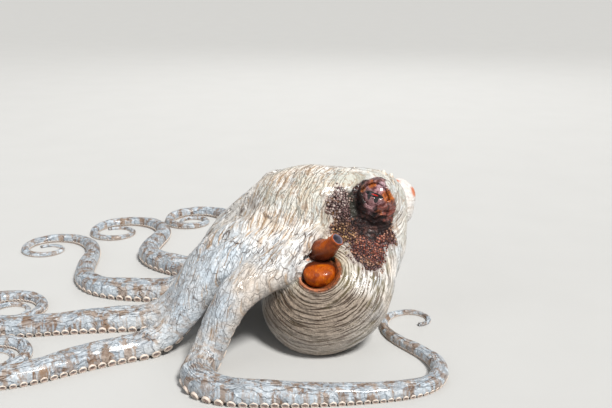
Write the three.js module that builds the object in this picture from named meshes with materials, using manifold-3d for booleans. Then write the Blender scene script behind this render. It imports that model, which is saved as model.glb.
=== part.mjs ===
// Day octopus, life size, sitting on a floor: the head is raised, the mantle hangs down beside it,
// and the arms drape from the arm crown to the floor and curl there.
// Millimetres, +Z up. The animal faces -X, and its left side faces -Y.

import * as THREE from 'three';
import { mergeVertices } from 'three/addons/utils/BufferGeometryUtils.js';
import Module from 'manifold-3d';

const wasm = await Module();
wasm.setup();

// ---------------------------------------------------------------- driving dimensions

const GAP = 0.3;                 // clearance between neighbouring pieces

// The trunk is built of ellipsoids that melt into each other. The first radius lies along `axis`,
// the third along `up`.
const MANTLE = {
  centre: [13.5, -10, 32], axis: [-0.5, -0.62, -0.6], up: [-0.45, -0.4, 0.8], radii: [44, 42, 31],
};
const NECK = {
  centre: [39, 6, 58], axis: [0.2, 0.3, 0.93], up: [-0.9, 0, 0.2], radii: [25, 21, 23],
};
const SKULL = {
  centre: [38, 18, 78], axis: [-0.94, 0.32, -0.09], up: [0, 0.27, 0.96], radii: [25, 23, 21.5],
};
const BROW = {
  centre: [12, 18, 78], axis: [-0.94, 0.32, -0.09], up: [0, 0.27, 0.96], radii: [27, 26, 23],
};
const CROWN = {
  centre: [-8, 18, 74], axis: [-0.72, 0.08, -0.69], up: [-0.69, 0.08, 0.72], radii: [27, 28, 24],
};
const TRUNK_BLEND = 12;          // how far the ellipsoids melt together

// Where the trunk is parted: the plane's point, and its normal towards the head or the crown.
const NECK_CUT = { point: [33, 2, 58], normal: [0.3, 0.32, 0.9] };
const CROWN_CUT = { point: [14, 20, 78], normal: [-0.9, 0.15, -0.4] };

// Eyes. The turret is the raised ring of skin round each eyeball.
const EYE_LEFT = [44.7, -2, 89];
const EYE_RIGHT = [58.6, 34, 79.2];
const TURRET_RADII = [12, 11.5, 15];
const TURRET_DROP = 6;           // how far the turret's middle lies below the eye's
const TURRET_BLEND = 4;
const EYEBALL_RADIUS = 9.5;
const EYEBALL_OUT = 5.5;         // how far the eyeball's centre lies outside the turret's centre

// The mantle opening, a pocket in the mantle's wall, with the collar and the funnel in it.
const POCKET = {
  centre: [6.5, -43, 58], axis: [1, 0.1, 0.1], up: [-0.2, 0.5, 0.85], radii: [13.5, 22, 12.5],
};
const COLLAR = {
  centre: [7.8, -31, 49.6], axis: [1, 0.1, 0.05], up: [-0.1, -0.35, 0.93], radii: [9.8, 8.5, 7],
};
const FUNNEL_PATH = [[4.5, -10, 55], [8.2, -21, 60], [12.8, -30, 64.8], [17.8, -34, 71.3]];
const FUNNEL_RADII = [8.4, 7.3, 5.4, 3.5];
const FUNNEL_WALL = 1.4;
const FUNNEL_BORE = 9;           // how deep the funnel's end is hollow

// Arms. Each starts at `root` inside the crown, drapes over `shoulder`, touches at `touch`
// towards `heading`, and then bends: each bend is [distance from the touchdown, degrees of turn per
// 10 mm], the turn positive to the left.
const ARM_LENGTH = 420;
const ARM_BASE = 13.5;           // half the width where the arm is thickest
const ARM_TIP = 1.3;
const ARM_TAPER = 1.1;
const ARM_SIDES = 7;
const ABORAL = 0.9;              // height of the upper side, of half the width
const ORAL = 0.7;                // height of the sucker side
// Each stretch of an arm, from and to a distance along it.
const ARM_PARTS = [['base', 8, 104], ['upper', 104, 186], ['lower', 186, 280], ['tip', 280, ARM_LENGTH]];
const ARMS = [
  { name: 'L1', root: [-12, 17, 82], shoulder: [-47, 38, 58], touch: [-104, 52], heading: 176,
    bends: [[0, 0], [50, -16], [110, 2], [160, 16], [230, 34], [310, 66]] },
  { name: 'L2', root: [-7, 8, 75], shoulder: [-52, 4, 53], touch: [-108, 4], heading: 186,
    bends: [[0, 0], [50, 2], [95, -17], [150, -23], [220, -34], [295, -58]] },
  { name: 'L3', root: [2, 0, 68], shoulder: [-50, -20, 50.6], touch: [-102, -38], heading: 202,
    bends: [[0, 4], [40, 2], [80, -16], [150, -25], [220, -36], [295, -58]] },
  { name: 'L4', root: [14, 0, 62], shoulder: [-37.5, -44, 43.5], touch: [-60, -65], heading: 256,
    bends: [[0, 34], [28, 22], [46, 2], [119, 2], [149, 24], [176, 18], [206, -6], [252, -26],
      [310, -90]] },
  { name: 'R4', root: [14, 36, 58], shoulder: [24, 64, 34], touch: [44, 92], heading: 66,
    bends: [[0, 0], [50, 6], [110, 18], [170, 23], [240, 34], [336, 56]] },
  { name: 'R3', root: [2, 44, 66], shoulder: [6, 80, 42], touch: [-6, 122], heading: 124,
    bends: [[0, 0], [80, -4], [120, -22], [200, -28], [250, -40], [318, -60]] },
  { name: 'R2', root: [-8, 42, 76], shoulder: [-14, 82, 52], touch: [-42, 120], heading: 138,
    bends: [[0, 0], [60, -14], [120, 16], [180, 24], [240, 38], [305, 66]] },
  { name: 'R1', root: [-16, 30, 84], shoulder: [-34, 64, 58], touch: [-80, 94], heading: 154,
    bends: [[0, 0], [60, -16], [120, 14], [180, 20], [240, 36], [310, 44]] },
];
// Webs between neighbouring arms. `reach` is how far the web runs along the arms, `depth` how far it
// comes at its middle, and `pull` how far its middle is drawn in towards the mouth.
const WEB_THICKNESS = 3;
const WEB_START = 14;            // distance along the arms at which a web begins
const WEB_LIFT = 0.3;            // height of a web over the arm's line, of the arm's half width
const WEB_HOLLOW = 0.8;          // below 1, the free edge is hollowed more evenly
const WEBS = [
  { between: ['L1', 'L2'], reach: 116, depth: 84, pull: 0 },
  { between: ['L2', 'L3'], reach: 118, depth: 88, pull: 0 },
  { between: ['L3', 'L4'], reach: 100, depth: 62, pull: 0 },
  { between: ['L4', 'R4'], reach: 62, depth: 40, pull: 16 },
  { between: ['R4', 'R3'], reach: 104, depth: 78, pull: 0 },
  { between: ['R3', 'R2'], reach: 116, depth: 88, pull: 0 },
  { between: ['R2', 'R1'], reach: 114, depth: 84, pull: 0 },
  { between: ['R1', 'L1'], reach: 106, depth: 74, pull: 0 },
];

// ---------------------------------------------------------------- helpers

const vec = (a) => new THREE.Vector3(a[0], a[1], a[2]);

function smooth(t) {
  const x = Math.min(Math.max(t, 0), 1);
  return x * x * (3 - 2 * x);
}

function fromArrays(positions, index) {
  const g = new THREE.BufferGeometry();
  g.setAttribute('position', new THREE.Float32BufferAttribute(positions, 3));
  g.setIndex(index);
  return g;
}

function toManifold(geometry) {
  const g = geometry.clone();
  for (const name of Object.keys(g.attributes)) if (name !== 'position') g.deleteAttribute(name);
  const m = mergeVertices(g, 1e-4);
  return new wasm.Manifold(new wasm.Mesh({
    numProp: 3,
    vertProperties: new Float32Array(m.attributes.position.array),
    triVerts: new Uint32Array(m.index.array),
  }));
}

// The largest single body of a solid, as a geometry.
function fromManifold(solid) {
  const bodies = solid.decompose().sort((a, b) => b.volume() - a.volume());
  const mesh = bodies[0].getMesh();
  return fromArrays(Array.from(mesh.vertProperties), Array.from(mesh.triVerts));
}

function cutBy(geometry, cutters) {
  let solid = toManifold(geometry);
  for (const cutter of cutters) solid = solid.subtract(toManifold(cutter));
  return fromManifold(solid);
}

// Rings of equal count joined into a closed skin, with flat ends. Each ring runs anticlockwise
// seen from ahead.
function loft(rings) {
  const sides = rings[0].length;
  const positions = rings.flat().flatMap((v) => [v.x, v.y, v.z]);
  const index = [];
  for (let i = 0; i + 1 < rings.length; i += 1) {
    for (let k = 0; k < sides; k += 1) {
      const a = i * sides + k;
      const b = i * sides + ((k + 1) % sides);
      index.push(a, b, a + sides, b, b + sides, a + sides);
    }
  }
  const last = (rings.length - 1) * sides;
  for (let k = 1; k + 1 < sides; k += 1) {
    index.push(0, k + 1, k);
    index.push(last, last + k, last + k + 1);
  }
  return fromArrays(positions, index);
}

// ---------------------------------------------------------------- the trunk's outline as a field

// Approximate signed distance to an ellipsoid, negative inside.
function ellipsoid({ centre, axis, up, radii }) {
  const c = vec(centre);
  const x = vec(axis).normalize();
  const z = vec(up).addScaledVector(x, -vec(up).dot(x)).normalize();
  const y = new THREE.Vector3().crossVectors(z, x);
  return (p) => {
    const q = p.clone().sub(c);
    let near = 0;
    let slope = 0;
    [x, y, z].forEach((direction, i) => {
      const along = q.dot(direction) / radii[i];
      near += along ** 2;
      slope += (along / radii[i]) ** 2;
    });
    near = Math.sqrt(near);
    return near < 1e-6 ? -Math.min(...radii) : (near * (near - 1)) / Math.sqrt(slope);
  };
}

function melt(a, b, width) {
  const h = Math.max(width - Math.abs(a - b), 0) / width;
  return Math.min(a, b) - (h * h * width) / 4;
}

const headSide = vec(EYE_LEFT).sub(vec(EYE_RIGHT)).normalize();
const turrets = [EYE_LEFT, EYE_RIGHT].map(([x, y, z]) => ellipsoid({
  centre: [x, y, z - TURRET_DROP], axis: headSide.toArray(), up: SKULL.up, radii: TURRET_RADII,
}));
const trunk = [MANTLE, NECK, SKULL, BROW, CROWN].map(ellipsoid);

function trunkField(p) {
  let d = trunk[0](p);
  for (const part of trunk.slice(1)) d = melt(d, part(p), TRUNK_BLEND);
  for (const turret of turrets) d = melt(d, turret(p), TURRET_BLEND);
  return Math.max(d, -p.z);
}

const REACH = 150;               // further than any outline lies from its centre
const HALVINGS = 12;

// A closed surface round `centre`, out to where the field ends or a plane stops it.
function starSolid(centre, field, detail, planes = [], grow = 0) {
  const c = vec(centre);
  const ball = new THREE.IcosahedronGeometry(1, detail);
  ball.deleteAttribute('normal');
  ball.deleteAttribute('uv');
  const g = mergeVertices(ball, 1e-4);
  const pos = g.attributes.position;
  for (let i = 0; i < pos.count; i += 1) {
    const dir = new THREE.Vector3().fromBufferAttribute(pos, i).normalize();
    const inside = (r) => field(c.clone().addScaledVector(dir, r)) < grow;
    let far = 1;
    while (far < REACH && inside(far)) far += 1;
    let near = far - 1;
    for (let k = 0; k < HALVINGS; k += 1) {
      const middle = (near + far) / 2;
      if (inside(middle)) near = middle;
      else far = middle;
    }
    for (const { point, normal } of planes) {
      const facing = dir.dot(normal);
      if (facing > 1e-6) near = Math.min(near, (point.clone().sub(c).dot(normal) + grow) / facing);
    }
    pos.setXYZ(i, c.x + dir.x * near, c.y + dir.y * near, c.z + dir.z * near);
  }
  return g;
}

// One side of a cut, half the clearance short of it.
function side({ point, normal }, sign) {
  const n = vec(normal).normalize().multiplyScalar(sign);
  return { point: vec(point).addScaledVector(n, -GAP / 2), normal: n };
}

// ---------------------------------------------------------------- arms

const crownAxis = vec(CROWN.axis).normalize();
const up = new THREE.Vector3(0, 0, 1);
const FLAT = Math.cos(Math.PI / ARM_SIDES);      // from a side's ring to its flat underside
const RING_PITCH = 1.65;         // from ring to ring, of half the width
const RING_PITCH_LEAST = 8.4;
const SAMPLE = 2;                // spacing of the points along an arm's line

// The two curves of a drape: how it leaves its root, and the lengths of the curves' handles.
const LEAVE = { onward: 0.7, outward: 0.45, handle: 0.4 };
const SHOULDER_HANDLE = 0.35;
const LANDING_HANDLE = 0.45;

const ringPitch = (s) => Math.max(armRadius(s) * RING_PITCH, RING_PITCH_LEAST);
const armRadius = (s) => ARM_TIP + (ARM_BASE - ARM_TIP) * Math.max(1 - s / ARM_LENGTH, 0) ** ARM_TAPER;

// Degrees of turn per millimetre at a distance from the touchdown.
function bendAt(bends, distance) {
  let i = 0;
  while (i < bends.length - 2 && distance > bends[i + 1][0]) i += 1;
  const [[from, a], [to, b]] = [bends[i], bends[i + 1]];
  const t = Math.min(Math.max((distance - from) / (to - from), 0), 1);
  return (a + (b - a) * t) / 10;
}

// The drape from the crown over the shoulder to the floor, as two smooth curves.
function armDrape(start, out, shoulder, end, ahead) {
  const rise = start.distanceTo(shoulder);
  const fall = shoulder.distanceTo(end);
  const over = end.clone().sub(start).normalize();
  const leave = shoulder.clone().sub(start).normalize().multiplyScalar(LEAVE.onward)
    .addScaledVector(out, LEAVE.outward);
  const drape = new THREE.CurvePath();
  drape.add(new THREE.CubicBezierCurve3(
    start,
    start.clone().addScaledVector(leave, rise * LEAVE.handle),
    shoulder.clone().addScaledVector(over, -rise * SHOULDER_HANDLE),
    shoulder,
  ));
  drape.add(new THREE.CubicBezierCurve3(
    shoulder,
    shoulder.clone().addScaledVector(over, fall * SHOULDER_HANDLE),
    end.clone().addScaledVector(ahead, -fall * LANDING_HANDLE),
    end,
  ));
  return drape;
}

function armLine({ root, shoulder, touch, heading, bends }) {
  const start = vec(root);
  const out = start.clone().sub(vec(CROWN.centre)).normalize();
  const middle = vec(shoulder);
  let turn = THREE.MathUtils.degToRad(heading);
  const ahead = new THREE.Vector3(Math.cos(turn), Math.sin(turn), 0);
  const end = vec([...touch, 0]);
  end.z = armRadius(start.distanceTo(middle) + middle.distanceTo(end)) * ORAL * FLAT;
  const drape = armDrape(start, out, middle, end, ahead);
  const drapeLength = drape.getLength();
  const points = [];
  for (let s = 0; s <= ARM_LENGTH; s += SAMPLE) {
    if (s < drapeLength) {
      points.push(drape.getPointAt(s / drapeLength));
    } else {
      const landed = s - SAMPLE < drapeLength;
      const step = landed ? s - drapeLength : SAMPLE;
      const p = landed ? end.clone() : points[points.length - 1].clone();
      turn += THREE.MathUtils.degToRad(bendAt(bends, s - drapeLength)) * step;
      points.push(p.add(new THREE.Vector3(Math.cos(turn) * step, Math.sin(turn) * step, 0)));
      p.z = armRadius(s) * ORAL * FLAT;
    }
  }
  return { out, points, drapeLength };
}

const lines = Object.fromEntries(ARMS.map((arm) => [arm.name, armLine(arm)]));
const ringOfArms = ARMS.map((arm) => arm.name);

// The line's point, its direction, the upper side's direction and the sideways one.
function armFrame(name, s) {
  const { points, out, drapeLength } = lines[name];
  const at = Math.min(Math.max(s / SAMPLE, 0), points.length - 1.001);
  const i = Math.floor(at);
  const p = points[i].clone().lerp(points[i + 1], at - i);
  const before = points[Math.max(i - 1, 0)];
  const after = points[Math.min(i + 2, points.length - 1)];
  const along = after.clone().sub(before).normalize();
  const landed = smooth(s / drapeLength);
  const top = out.clone().multiplyScalar(1 - landed).addScaledVector(up, landed);
  top.addScaledVector(along, -top.dot(along)).normalize();
  return { p, along, top, across: new THREE.Vector3().crossVectors(top, along) };
}

// Half the width: the arm's own, or what its neighbours leave near the crown.
function armHalfWidth(name, s) {
  const here = armFrame(name, s).p;
  const place = ringOfArms.indexOf(name);
  let w = armRadius(s);
  for (const step of [1, ringOfArms.length - 1]) {
    const neighbour = ringOfArms[(place + step) % ringOfArms.length];
    w = Math.min(w, here.distanceTo(armFrame(neighbour, s).p) / 2 - GAP);
  }
  return w;
}

// The arm's outline at one place, moved `shift` along it.
function armRing(name, s, grow, shift) {
  const { p, along, top, across } = armFrame(name, s);
  const wide = armHalfWidth(name, s) + grow;
  const high = armRadius(s) + grow;
  return Array.from({ length: ARM_SIDES }, (_, k) => {
    const phi = ((k + 0.5) / ARM_SIDES - 0.25) * Math.PI * 2;
    const height = Math.sin(phi) * high * (Math.sin(phi) > 0 ? ABORAL : ORAL);
    const v = p.clone().addScaledVector(across, Math.cos(phi) * wide).addScaledVector(top, height);
    v.addScaledVector(along, shift);
    v.z = Math.max(v.z, 0);
    return v;
  });
}

function armSolid(name, part, grow = 0) {
  const [, start, end] = ARM_PARTS.find(([label]) => label === part);
  const rings = [armRing(name, start, grow, GAP / 2 - grow)];
  let s = start + ringPitch(start);
  while (s < end - RING_PITCH_LEAST / 2) {
    rings.push(armRing(name, s, grow, 0));
    s += ringPitch(s);
  }
  rings.push(armRing(name, end, grow, grow - GAP / 2));
  return loft(rings);
}

// ---------------------------------------------------------------- webs

const WEB_ROWS = 6;
const WEB_COLUMNS = 4;
const WEB_NUDGE = 0.02;          // step across a web with which its slope is found

function webSolid({ between, reach, depth, pull }) {
  const [a, b] = between;
  const point = (s, t) => {
    const [fa, fb] = [armFrame(a, s), armFrame(b, s)];
    const lift = WEB_LIFT * armRadius(s);
    const p = fa.p.clone().addScaledVector(fa.top, lift);
    p.lerp(fb.p.clone().addScaledVector(fb.top, lift), t);
    const belly = 4 * t * (1 - t);
    return p.addScaledVector(crownAxis, pull * belly * smooth(s / depth));
  };
  const edge = (t) => reach + (depth - reach) * Math.sin(Math.PI * t) ** WEB_HOLLOW;
  const sheet = [];
  for (let i = 0; i <= WEB_ROWS; i += 1) {
    for (let k = 0; k <= WEB_COLUMNS; k += 1) {
      const t = k / WEB_COLUMNS;
      const s = WEB_START + (edge(t) - WEB_START) * (i / WEB_ROWS);
      const p = point(s, t);
      const ds = point(s + 1, t).sub(p);
      const dt = point(s, t + WEB_NUDGE).sub(point(s, t - WEB_NUDGE));
      const n = new THREE.Vector3().crossVectors(ds, dt).normalize().multiplyScalar(WEB_THICKNESS / 2);
      sheet.push([p.clone().add(n), p.clone().sub(n)]);
    }
  }
  const n = sheet.length;
  const positions = [...sheet.map((v) => v[0]), ...sheet.map((v) => v[1])]
    .flatMap((v) => [v.x, v.y, Math.max(v.z, GAP)]);
  const index = [];
  const quad = (i, j, k, l) => index.push(i, j, k, i, k, l);
  const at = (i, k) => i * (WEB_COLUMNS + 1) + k;
  for (let i = 0; i < WEB_ROWS; i += 1) {
    for (let k = 0; k < WEB_COLUMNS; k += 1) {
      quad(at(i, k), at(i + 1, k), at(i + 1, k + 1), at(i, k + 1));
      quad(n + at(i, k), n + at(i, k + 1), n + at(i + 1, k + 1), n + at(i + 1, k));
    }
  }
  for (let i = 0; i < WEB_ROWS; i += 1) {
    quad(at(i, 0), n + at(i, 0), n + at(i + 1, 0), at(i + 1, 0));
    quad(at(i, WEB_COLUMNS), at(i + 1, WEB_COLUMNS), n + at(i + 1, WEB_COLUMNS), n + at(i, WEB_COLUMNS));
  }
  for (let k = 0; k < WEB_COLUMNS; k += 1) {
    quad(at(0, k), at(0, k + 1), n + at(0, k + 1), n + at(0, k));
    quad(at(WEB_ROWS, k), n + at(WEB_ROWS, k), n + at(WEB_ROWS, k + 1), at(WEB_ROWS, k + 1));
  }
  return fromArrays(positions, index);
}

// ---------------------------------------------------------------- funnel and eyes

const FUNNEL_SIDES = 8;
const FUNNEL_STEPS = 6;
const BORE_OVERSHOOT = 2;        // how far the bore's cutter stands out of the end
const EYEBALL_SIDES = 12;
const EYEBALL_ROWS = 7;

function tube(points, radii) {
  const curve = new THREE.CatmullRomCurve3(points.map(vec));
  const rings = [];
  const { normals, binormals } = curve.computeFrenetFrames(FUNNEL_STEPS, false);
  for (let i = 0; i <= FUNNEL_STEPS; i += 1) {
    const t = i / FUNNEL_STEPS;
    const place = t * (radii.length - 1);
    const low = Math.min(Math.floor(place), radii.length - 2);
    const r = radii[low] + (radii[low + 1] - radii[low]) * (place - low);
    const c = curve.getPointAt(t);
    rings.push(Array.from({ length: FUNNEL_SIDES }, (_, k) => {
      const phi = (k / FUNNEL_SIDES) * Math.PI * 2;
      return c.clone().addScaledVector(normals[i], Math.cos(phi) * r)
        .addScaledVector(binormals[i], Math.sin(phi) * r);
    }));
  }
  return loft(rings);
}

function funnelSolid(grow = 0) {
  return tube(FUNNEL_PATH, FUNNEL_RADII.map((r) => r + grow));
}

function funnelBore() {
  const tip = vec(FUNNEL_PATH[3]);
  const back = tip.clone().sub(vec(FUNNEL_PATH[2])).normalize();
  const inner = FUNNEL_RADII[3] - FUNNEL_WALL;
  const inmost = tip.clone().addScaledVector(back, -FUNNEL_BORE);
  const outmost = tip.clone().addScaledVector(back, BORE_OVERSHOOT);
  return tube([inmost.toArray(), outmost.toArray()], [inner, inner]);
}

function ball(centre, radius) {
  return new THREE.SphereGeometry(radius, EYEBALL_SIDES, EYEBALL_ROWS).translate(...centre);
}

const eyeballs = {
  left: vec(EYE_LEFT).addScaledVector(headSide, EYEBALL_OUT).toArray(),
  right: vec(EYE_RIGHT).addScaledVector(headSide, -EYEBALL_OUT).toArray(),
};

function ellipsoidSolid(shape, detail, grow = 0) {
  return starSolid(shape.centre, ellipsoid(shape), detail, [], grow);
}

// ---------------------------------------------------------------- assembly

const finish = {
  skin: { color: 0xd8d2c6, roughness: 0.55 },
  funnel: { color: 0xc8641e, roughness: 0.4 },
  eye: { color: 0x2a1a16, roughness: 0.1 },
};
const group = new THREE.Group();
const solids = {};

function add(name, geometry, kind = 'skin') {
  solids[name] = geometry;
  const mesh = new THREE.Mesh(geometry, new THREE.MeshStandardMaterial({ ...finish[kind], metalness: 0 }));
  mesh.name = name;
  group.add(mesh);
}

const HEAD_CENTRE = [38, 17, 80];            // a point inside the head from which all of it is seen
const POCKET_DETAIL = 2;                     // how finely each ball is divided into triangles
const MANTLE_DETAIL = 4;
const HEAD_DETAIL = 5;
const CROWN_DETAIL = 3;
const mantlePlanes = [side(NECK_CUT, 1)];
const headPlanes = [side(NECK_CUT, -1), side(CROWN_CUT, 1)];
const crownPlanes = [side(CROWN_CUT, -1), side(NECK_CUT, -1)];
const trunkSolid = {
  mantle: (grow) => starSolid(MANTLE.centre, trunkField, MANTLE_DETAIL, mantlePlanes, grow),
  head: (grow) => starSolid(HEAD_CENTRE, trunkField, HEAD_DETAIL, headPlanes, grow),
  crown: (grow) => starSolid(CROWN.centre, trunkField, CROWN_DETAIL, crownPlanes, grow),
};
const grown = Object.fromEntries(Object.entries(trunkSolid).map(([name, make]) => [name, make(GAP)]));
const pocket = ellipsoidSolid(POCKET, POCKET_DETAIL);
const mantleWall = cutBy(grown.mantle, [ellipsoidSolid(POCKET, POCKET_DETAIL, -GAP)]);
const sockets = Object.values(eyeballs).map((centre) => ball(centre, EYEBALL_RADIUS + GAP));
add('mantle', cutBy(trunkSolid.mantle(0), [pocket]));
add('head', cutBy(trunkSolid.head(0), [...sockets, pocket]));
add('arm_crown', cutBy(trunkSolid.crown(0), [pocket, grown.mantle]));
for (const [name, centre] of Object.entries(eyeballs)) {
  add(`eye_${name}`, ball(centre, EYEBALL_RADIUS), 'eye');
}

// The funnel and the collar come out of the pocket from behind the lower left arm.
const behindArm = [grown.head, grown.crown, mantleWall, armSolid('L4', 'base', GAP)];
add('funnel', cutBy(funnelSolid(), [funnelBore(), ...behindArm]), 'funnel');
add('collar', cutBy(ellipsoidSolid(COLLAR, POCKET_DETAIL), [funnelSolid(GAP), ...behindArm]), 'funnel');

const trunkCutters = [grown.head, grown.crown, grown.mantle];
ringOfArms.forEach((name, place) => {
  const before = ringOfArms[(place + ringOfArms.length - 1) % ringOfArms.length];
  for (const [part] of ARM_PARTS) {
    const solid = armSolid(name, part);
    const cutters = [...trunkCutters, armSolid(before, 'base', GAP)];
    add(`arm_${name}_${part}`, part === 'base' ? cutBy(solid, cutters) : solid);
  }
});
const webCutters = [...trunkCutters, funnelSolid(GAP), ellipsoidSolid(COLLAR, POCKET_DETAIL, GAP)];
for (const web of WEBS) {
  const arms = web.between.flatMap((name) => [armSolid(name, 'base', GAP), armSolid(name, 'upper', GAP)]);
  add(`web_${web.between.join('_')}`, cutBy(webSolid(web), [...webCutters, ...arms]));
}

// The origin is the middle of the box, on the floor.
const box = new THREE.Box3().setFromObject(group);
const middle = box.getCenter(new THREE.Vector3());
group.position.set(-middle.x, -middle.y, -box.min.z);

export default group;
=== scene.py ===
"""A day octopus, life size, resting on a pale floor.

The flesh is one skin. Its shape is worked out in millimetres, in the frame in which the animal was
laid out, as distances to the trunk, the arms and the webs. The finished meshes are in metres, in the
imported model's frame.
"""

import math
from contextlib import contextmanager
from types import SimpleNamespace

import bmesh
import bpy
import numpy as np
import openvdb
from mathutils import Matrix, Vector


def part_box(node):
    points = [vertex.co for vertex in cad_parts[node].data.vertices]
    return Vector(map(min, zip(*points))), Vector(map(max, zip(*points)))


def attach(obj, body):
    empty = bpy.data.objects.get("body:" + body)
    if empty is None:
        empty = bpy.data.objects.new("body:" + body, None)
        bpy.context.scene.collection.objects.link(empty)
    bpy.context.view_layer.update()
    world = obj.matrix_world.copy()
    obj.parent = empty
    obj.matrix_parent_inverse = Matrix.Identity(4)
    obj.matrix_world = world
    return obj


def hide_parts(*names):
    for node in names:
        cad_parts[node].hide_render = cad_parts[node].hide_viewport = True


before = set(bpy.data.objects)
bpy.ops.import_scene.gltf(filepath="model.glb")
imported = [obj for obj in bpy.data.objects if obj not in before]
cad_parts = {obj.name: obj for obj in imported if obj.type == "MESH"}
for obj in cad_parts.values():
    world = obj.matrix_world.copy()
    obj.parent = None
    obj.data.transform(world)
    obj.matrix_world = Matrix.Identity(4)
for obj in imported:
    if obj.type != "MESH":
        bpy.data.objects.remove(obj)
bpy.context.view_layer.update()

# ---------------------------------------------------------------- the animal's sizes, in millimetres

MM = 0.001

# Ellipsoids of the trunk: centre, direction of the first radius, direction of the third, radii.
MANTLE = ((13.5, -10, 32), (-0.5, -0.62, -0.6), (-0.45, -0.4, 0.8), (44, 42, 31))
NECK = ((39, 6, 58), (0.2, 0.3, 0.93), (-0.9, 0, 0.2), (25, 21, 23))
SKULL = ((38, 18, 78), (-0.94, 0.32, -0.09), (0, 0.27, 0.96), (25, 23, 21.5))
BROW = ((12, 18, 78), (-0.94, 0.32, -0.09), (0, 0.27, 0.96), (27, 26, 23))
CROWN = ((-8, 18, 74), (-0.72, 0.08, -0.69), (-0.69, 0.08, 0.72), (27, 28, 24))
TRUNK_BLEND = 12.0

EYE_LEFT = np.array((44.7, -2, 89))
EYE_RIGHT = np.array((58.6, 34, 79.2))
TURRET_RADII = (12, 11.5, 15)
TURRET_DROP = np.array((0, 0, 6))
TURRET_BLEND = 4.0
EYEBALL_RADIUS = 9.5
EYEBALL_OUT = 5.5
PUPIL_TILT = math.radians(20)

POCKET = ((6.5, -43, 58), (1, 0.1, 0.1), (-0.2, 0.5, 0.85), (13.5, 22, 12.5))
POCKET_BLEND = 1.8
SLIT = ((6, -29, 57), (1, 0.1, 0), (0, -0.35, 0.93), (11.5, 11, 2.6))
SLIT_BLEND = 1.2
COLLAR = ((7.8, -31, 49.6), (1, 0.1, 0.05), (-0.1, -0.35, 0.93), (9.8, 8.5, 7))
FUNNEL_PATH = ((4.5, -10, 55), (8.2, -21, 60), (12.8, -30, 64.8), (17.8, -34, 71.3))
FUNNEL_RADII = (8.4, 7.3, 5.4, 3.5)
FUNNEL_WALL = 1.1

ARM_LENGTH = 420.0
ARM_BASE = 13.5
ARM_TIP = 1.3
ARM_TAPER = 1.1
ABORAL = 0.9             # an arm's height above its line, and below it, as shares of its radius
ORAL = 0.63
ORAL_ROUND = 0.7
# Each arm: root, shoulder, touchdown, heading in degrees, bends as (distance, degrees per 10 mm).
# They are listed round the mouth, from the lower right arm to the lower left one.
ARMS = {
    "R4": ((14, 36, 58), (24, 64, 34), (44, 92), 66,
           ((0, 0), (50, 6), (110, 18), (170, 23), (240, 34), (336, 56))),
    "R3": ((2, 44, 66), (6, 80, 42), (-6, 122), 124,
           ((0, 0), (80, -4), (120, -22), (200, -28), (250, -40), (318, -60))),
    "R2": ((-8, 42, 76), (-14, 82, 52), (-42, 120), 138,
           ((0, 0), (60, -14), (120, 16), (180, 24), (240, 38), (305, 66))),
    "R1": ((-16, 30, 84), (-34, 64, 58), (-80, 94), 154,
           ((0, 0), (60, -16), (120, 14), (180, 20), (240, 36), (310, 44))),
    "L1": ((-12, 17, 82), (-47, 38, 58), (-104, 52), 176,
           ((0, 0), (50, -16), (110, 2), (160, 16), (230, 34), (310, 66))),
    "L2": ((-7, 8, 75), (-52, 4, 53), (-108, 4), 186,
           ((0, 0), (50, 2), (95, -17), (150, -23), (220, -34), (295, -58))),
    "L3": ((2, 0, 68), (-50, -20, 50.6), (-102, -38), 202,
           ((0, 4), (40, 2), (80, -16), (150, -25), (220, -36), (295, -58))),
    "L4": ((14, 0, 62), (-37.5, -44, 43.5), (-60, -65), 256,
           ((0, 34), (28, 22), (46, 2), (119, 2), (149, 24), (176, 18), (206, -6), (252, -26), (310, -90))),
}
ARM_NAMES = list(ARMS)

WEB_THICKNESS = 3.0
WEB_START = 14.0
WEB_LIFT = 0.3           # how far above the arms' lines a web springs, as a share of their radius
WEB_LOWEST = 0.3
WEB_ARCH = 0.8           # the power that shapes a web's free edge
# Each web: the two arms, its reach along them, its depth at the middle, its pull towards the mouth.
WEBS = (
    ("L1", "L2", 116, 84, 0), ("L2", "L3", 118, 88, 0), ("L3", "L4", 100, 62, 0), ("L4", "R4", 62, 40, 16),
    ("R4", "R3", 104, 78, 0), ("R3", "R2", 116, 88, 0), ("R2", "R1", 114, 84, 0), ("R1", "L1", 106, 74, 0),
)
# The web's loose edge, which hangs over the funnel's foot: places along it and its thickness there.
HEM = (((9.5, -12, 69.4), 3.0), ((4.4, -18, 68.1), 4.0), ((0, -22, 67), 5.0), ((-8, -27, 63.3), 6.0),
       ((-15.7, -31, 56.6), 8.0), ((-25, -38, 48.5), 8.5))

# ---------------------------------------------------------------- numbers and noise


def unit(v):
    v = np.asarray(v, float)
    return v / np.linalg.norm(v, axis=-1, keepdims=True)


def apart(points, centre):
    return np.linalg.norm(points - np.array(centre), axis=1)


def step(x, low, high):
    """0 below low, 1 above high, smooth between."""
    t = np.clip((x - low) / (high - low), 0, 1)
    return t * t * (3 - 2 * t)


def melt(a, b, width):
    """The nearer of two distances, rounded where they are within width of each other."""
    h = np.maximum(width - np.abs(a - b), 0) / width
    return np.minimum(a, b) - h * h * width / 4


def carve(a, b, width):
    """What is left of a outside b."""
    return -melt(-a, b, width)


def blend_corners(f, value_at):
    """The values at a cell's eight corners, blended by the place f within the cell."""
    total = 0
    for corner in np.ndindex(2, 2, 2):
        weight = 1
        for axis, far in enumerate(corner):
            weight = weight * (f[:, axis] if far else 1 - f[:, axis])
        total = total + weight * value_at(corner)
    return total


def grain(cell, seed):
    """A fixed number from 0 to 1 for each lattice point."""
    x, y, z = cell.T
    h = (x * 374761393 + y * 668265263 + z * 1442695041 + seed * 974634777) & 0xFFFFFFFF
    h = ((h ^ (h >> 13)) * 1274126177) & 0xFFFFFFFF
    return ((h ^ (h >> 16)) & 0xFFFFFF) / float(0xFFFFFF)


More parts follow.
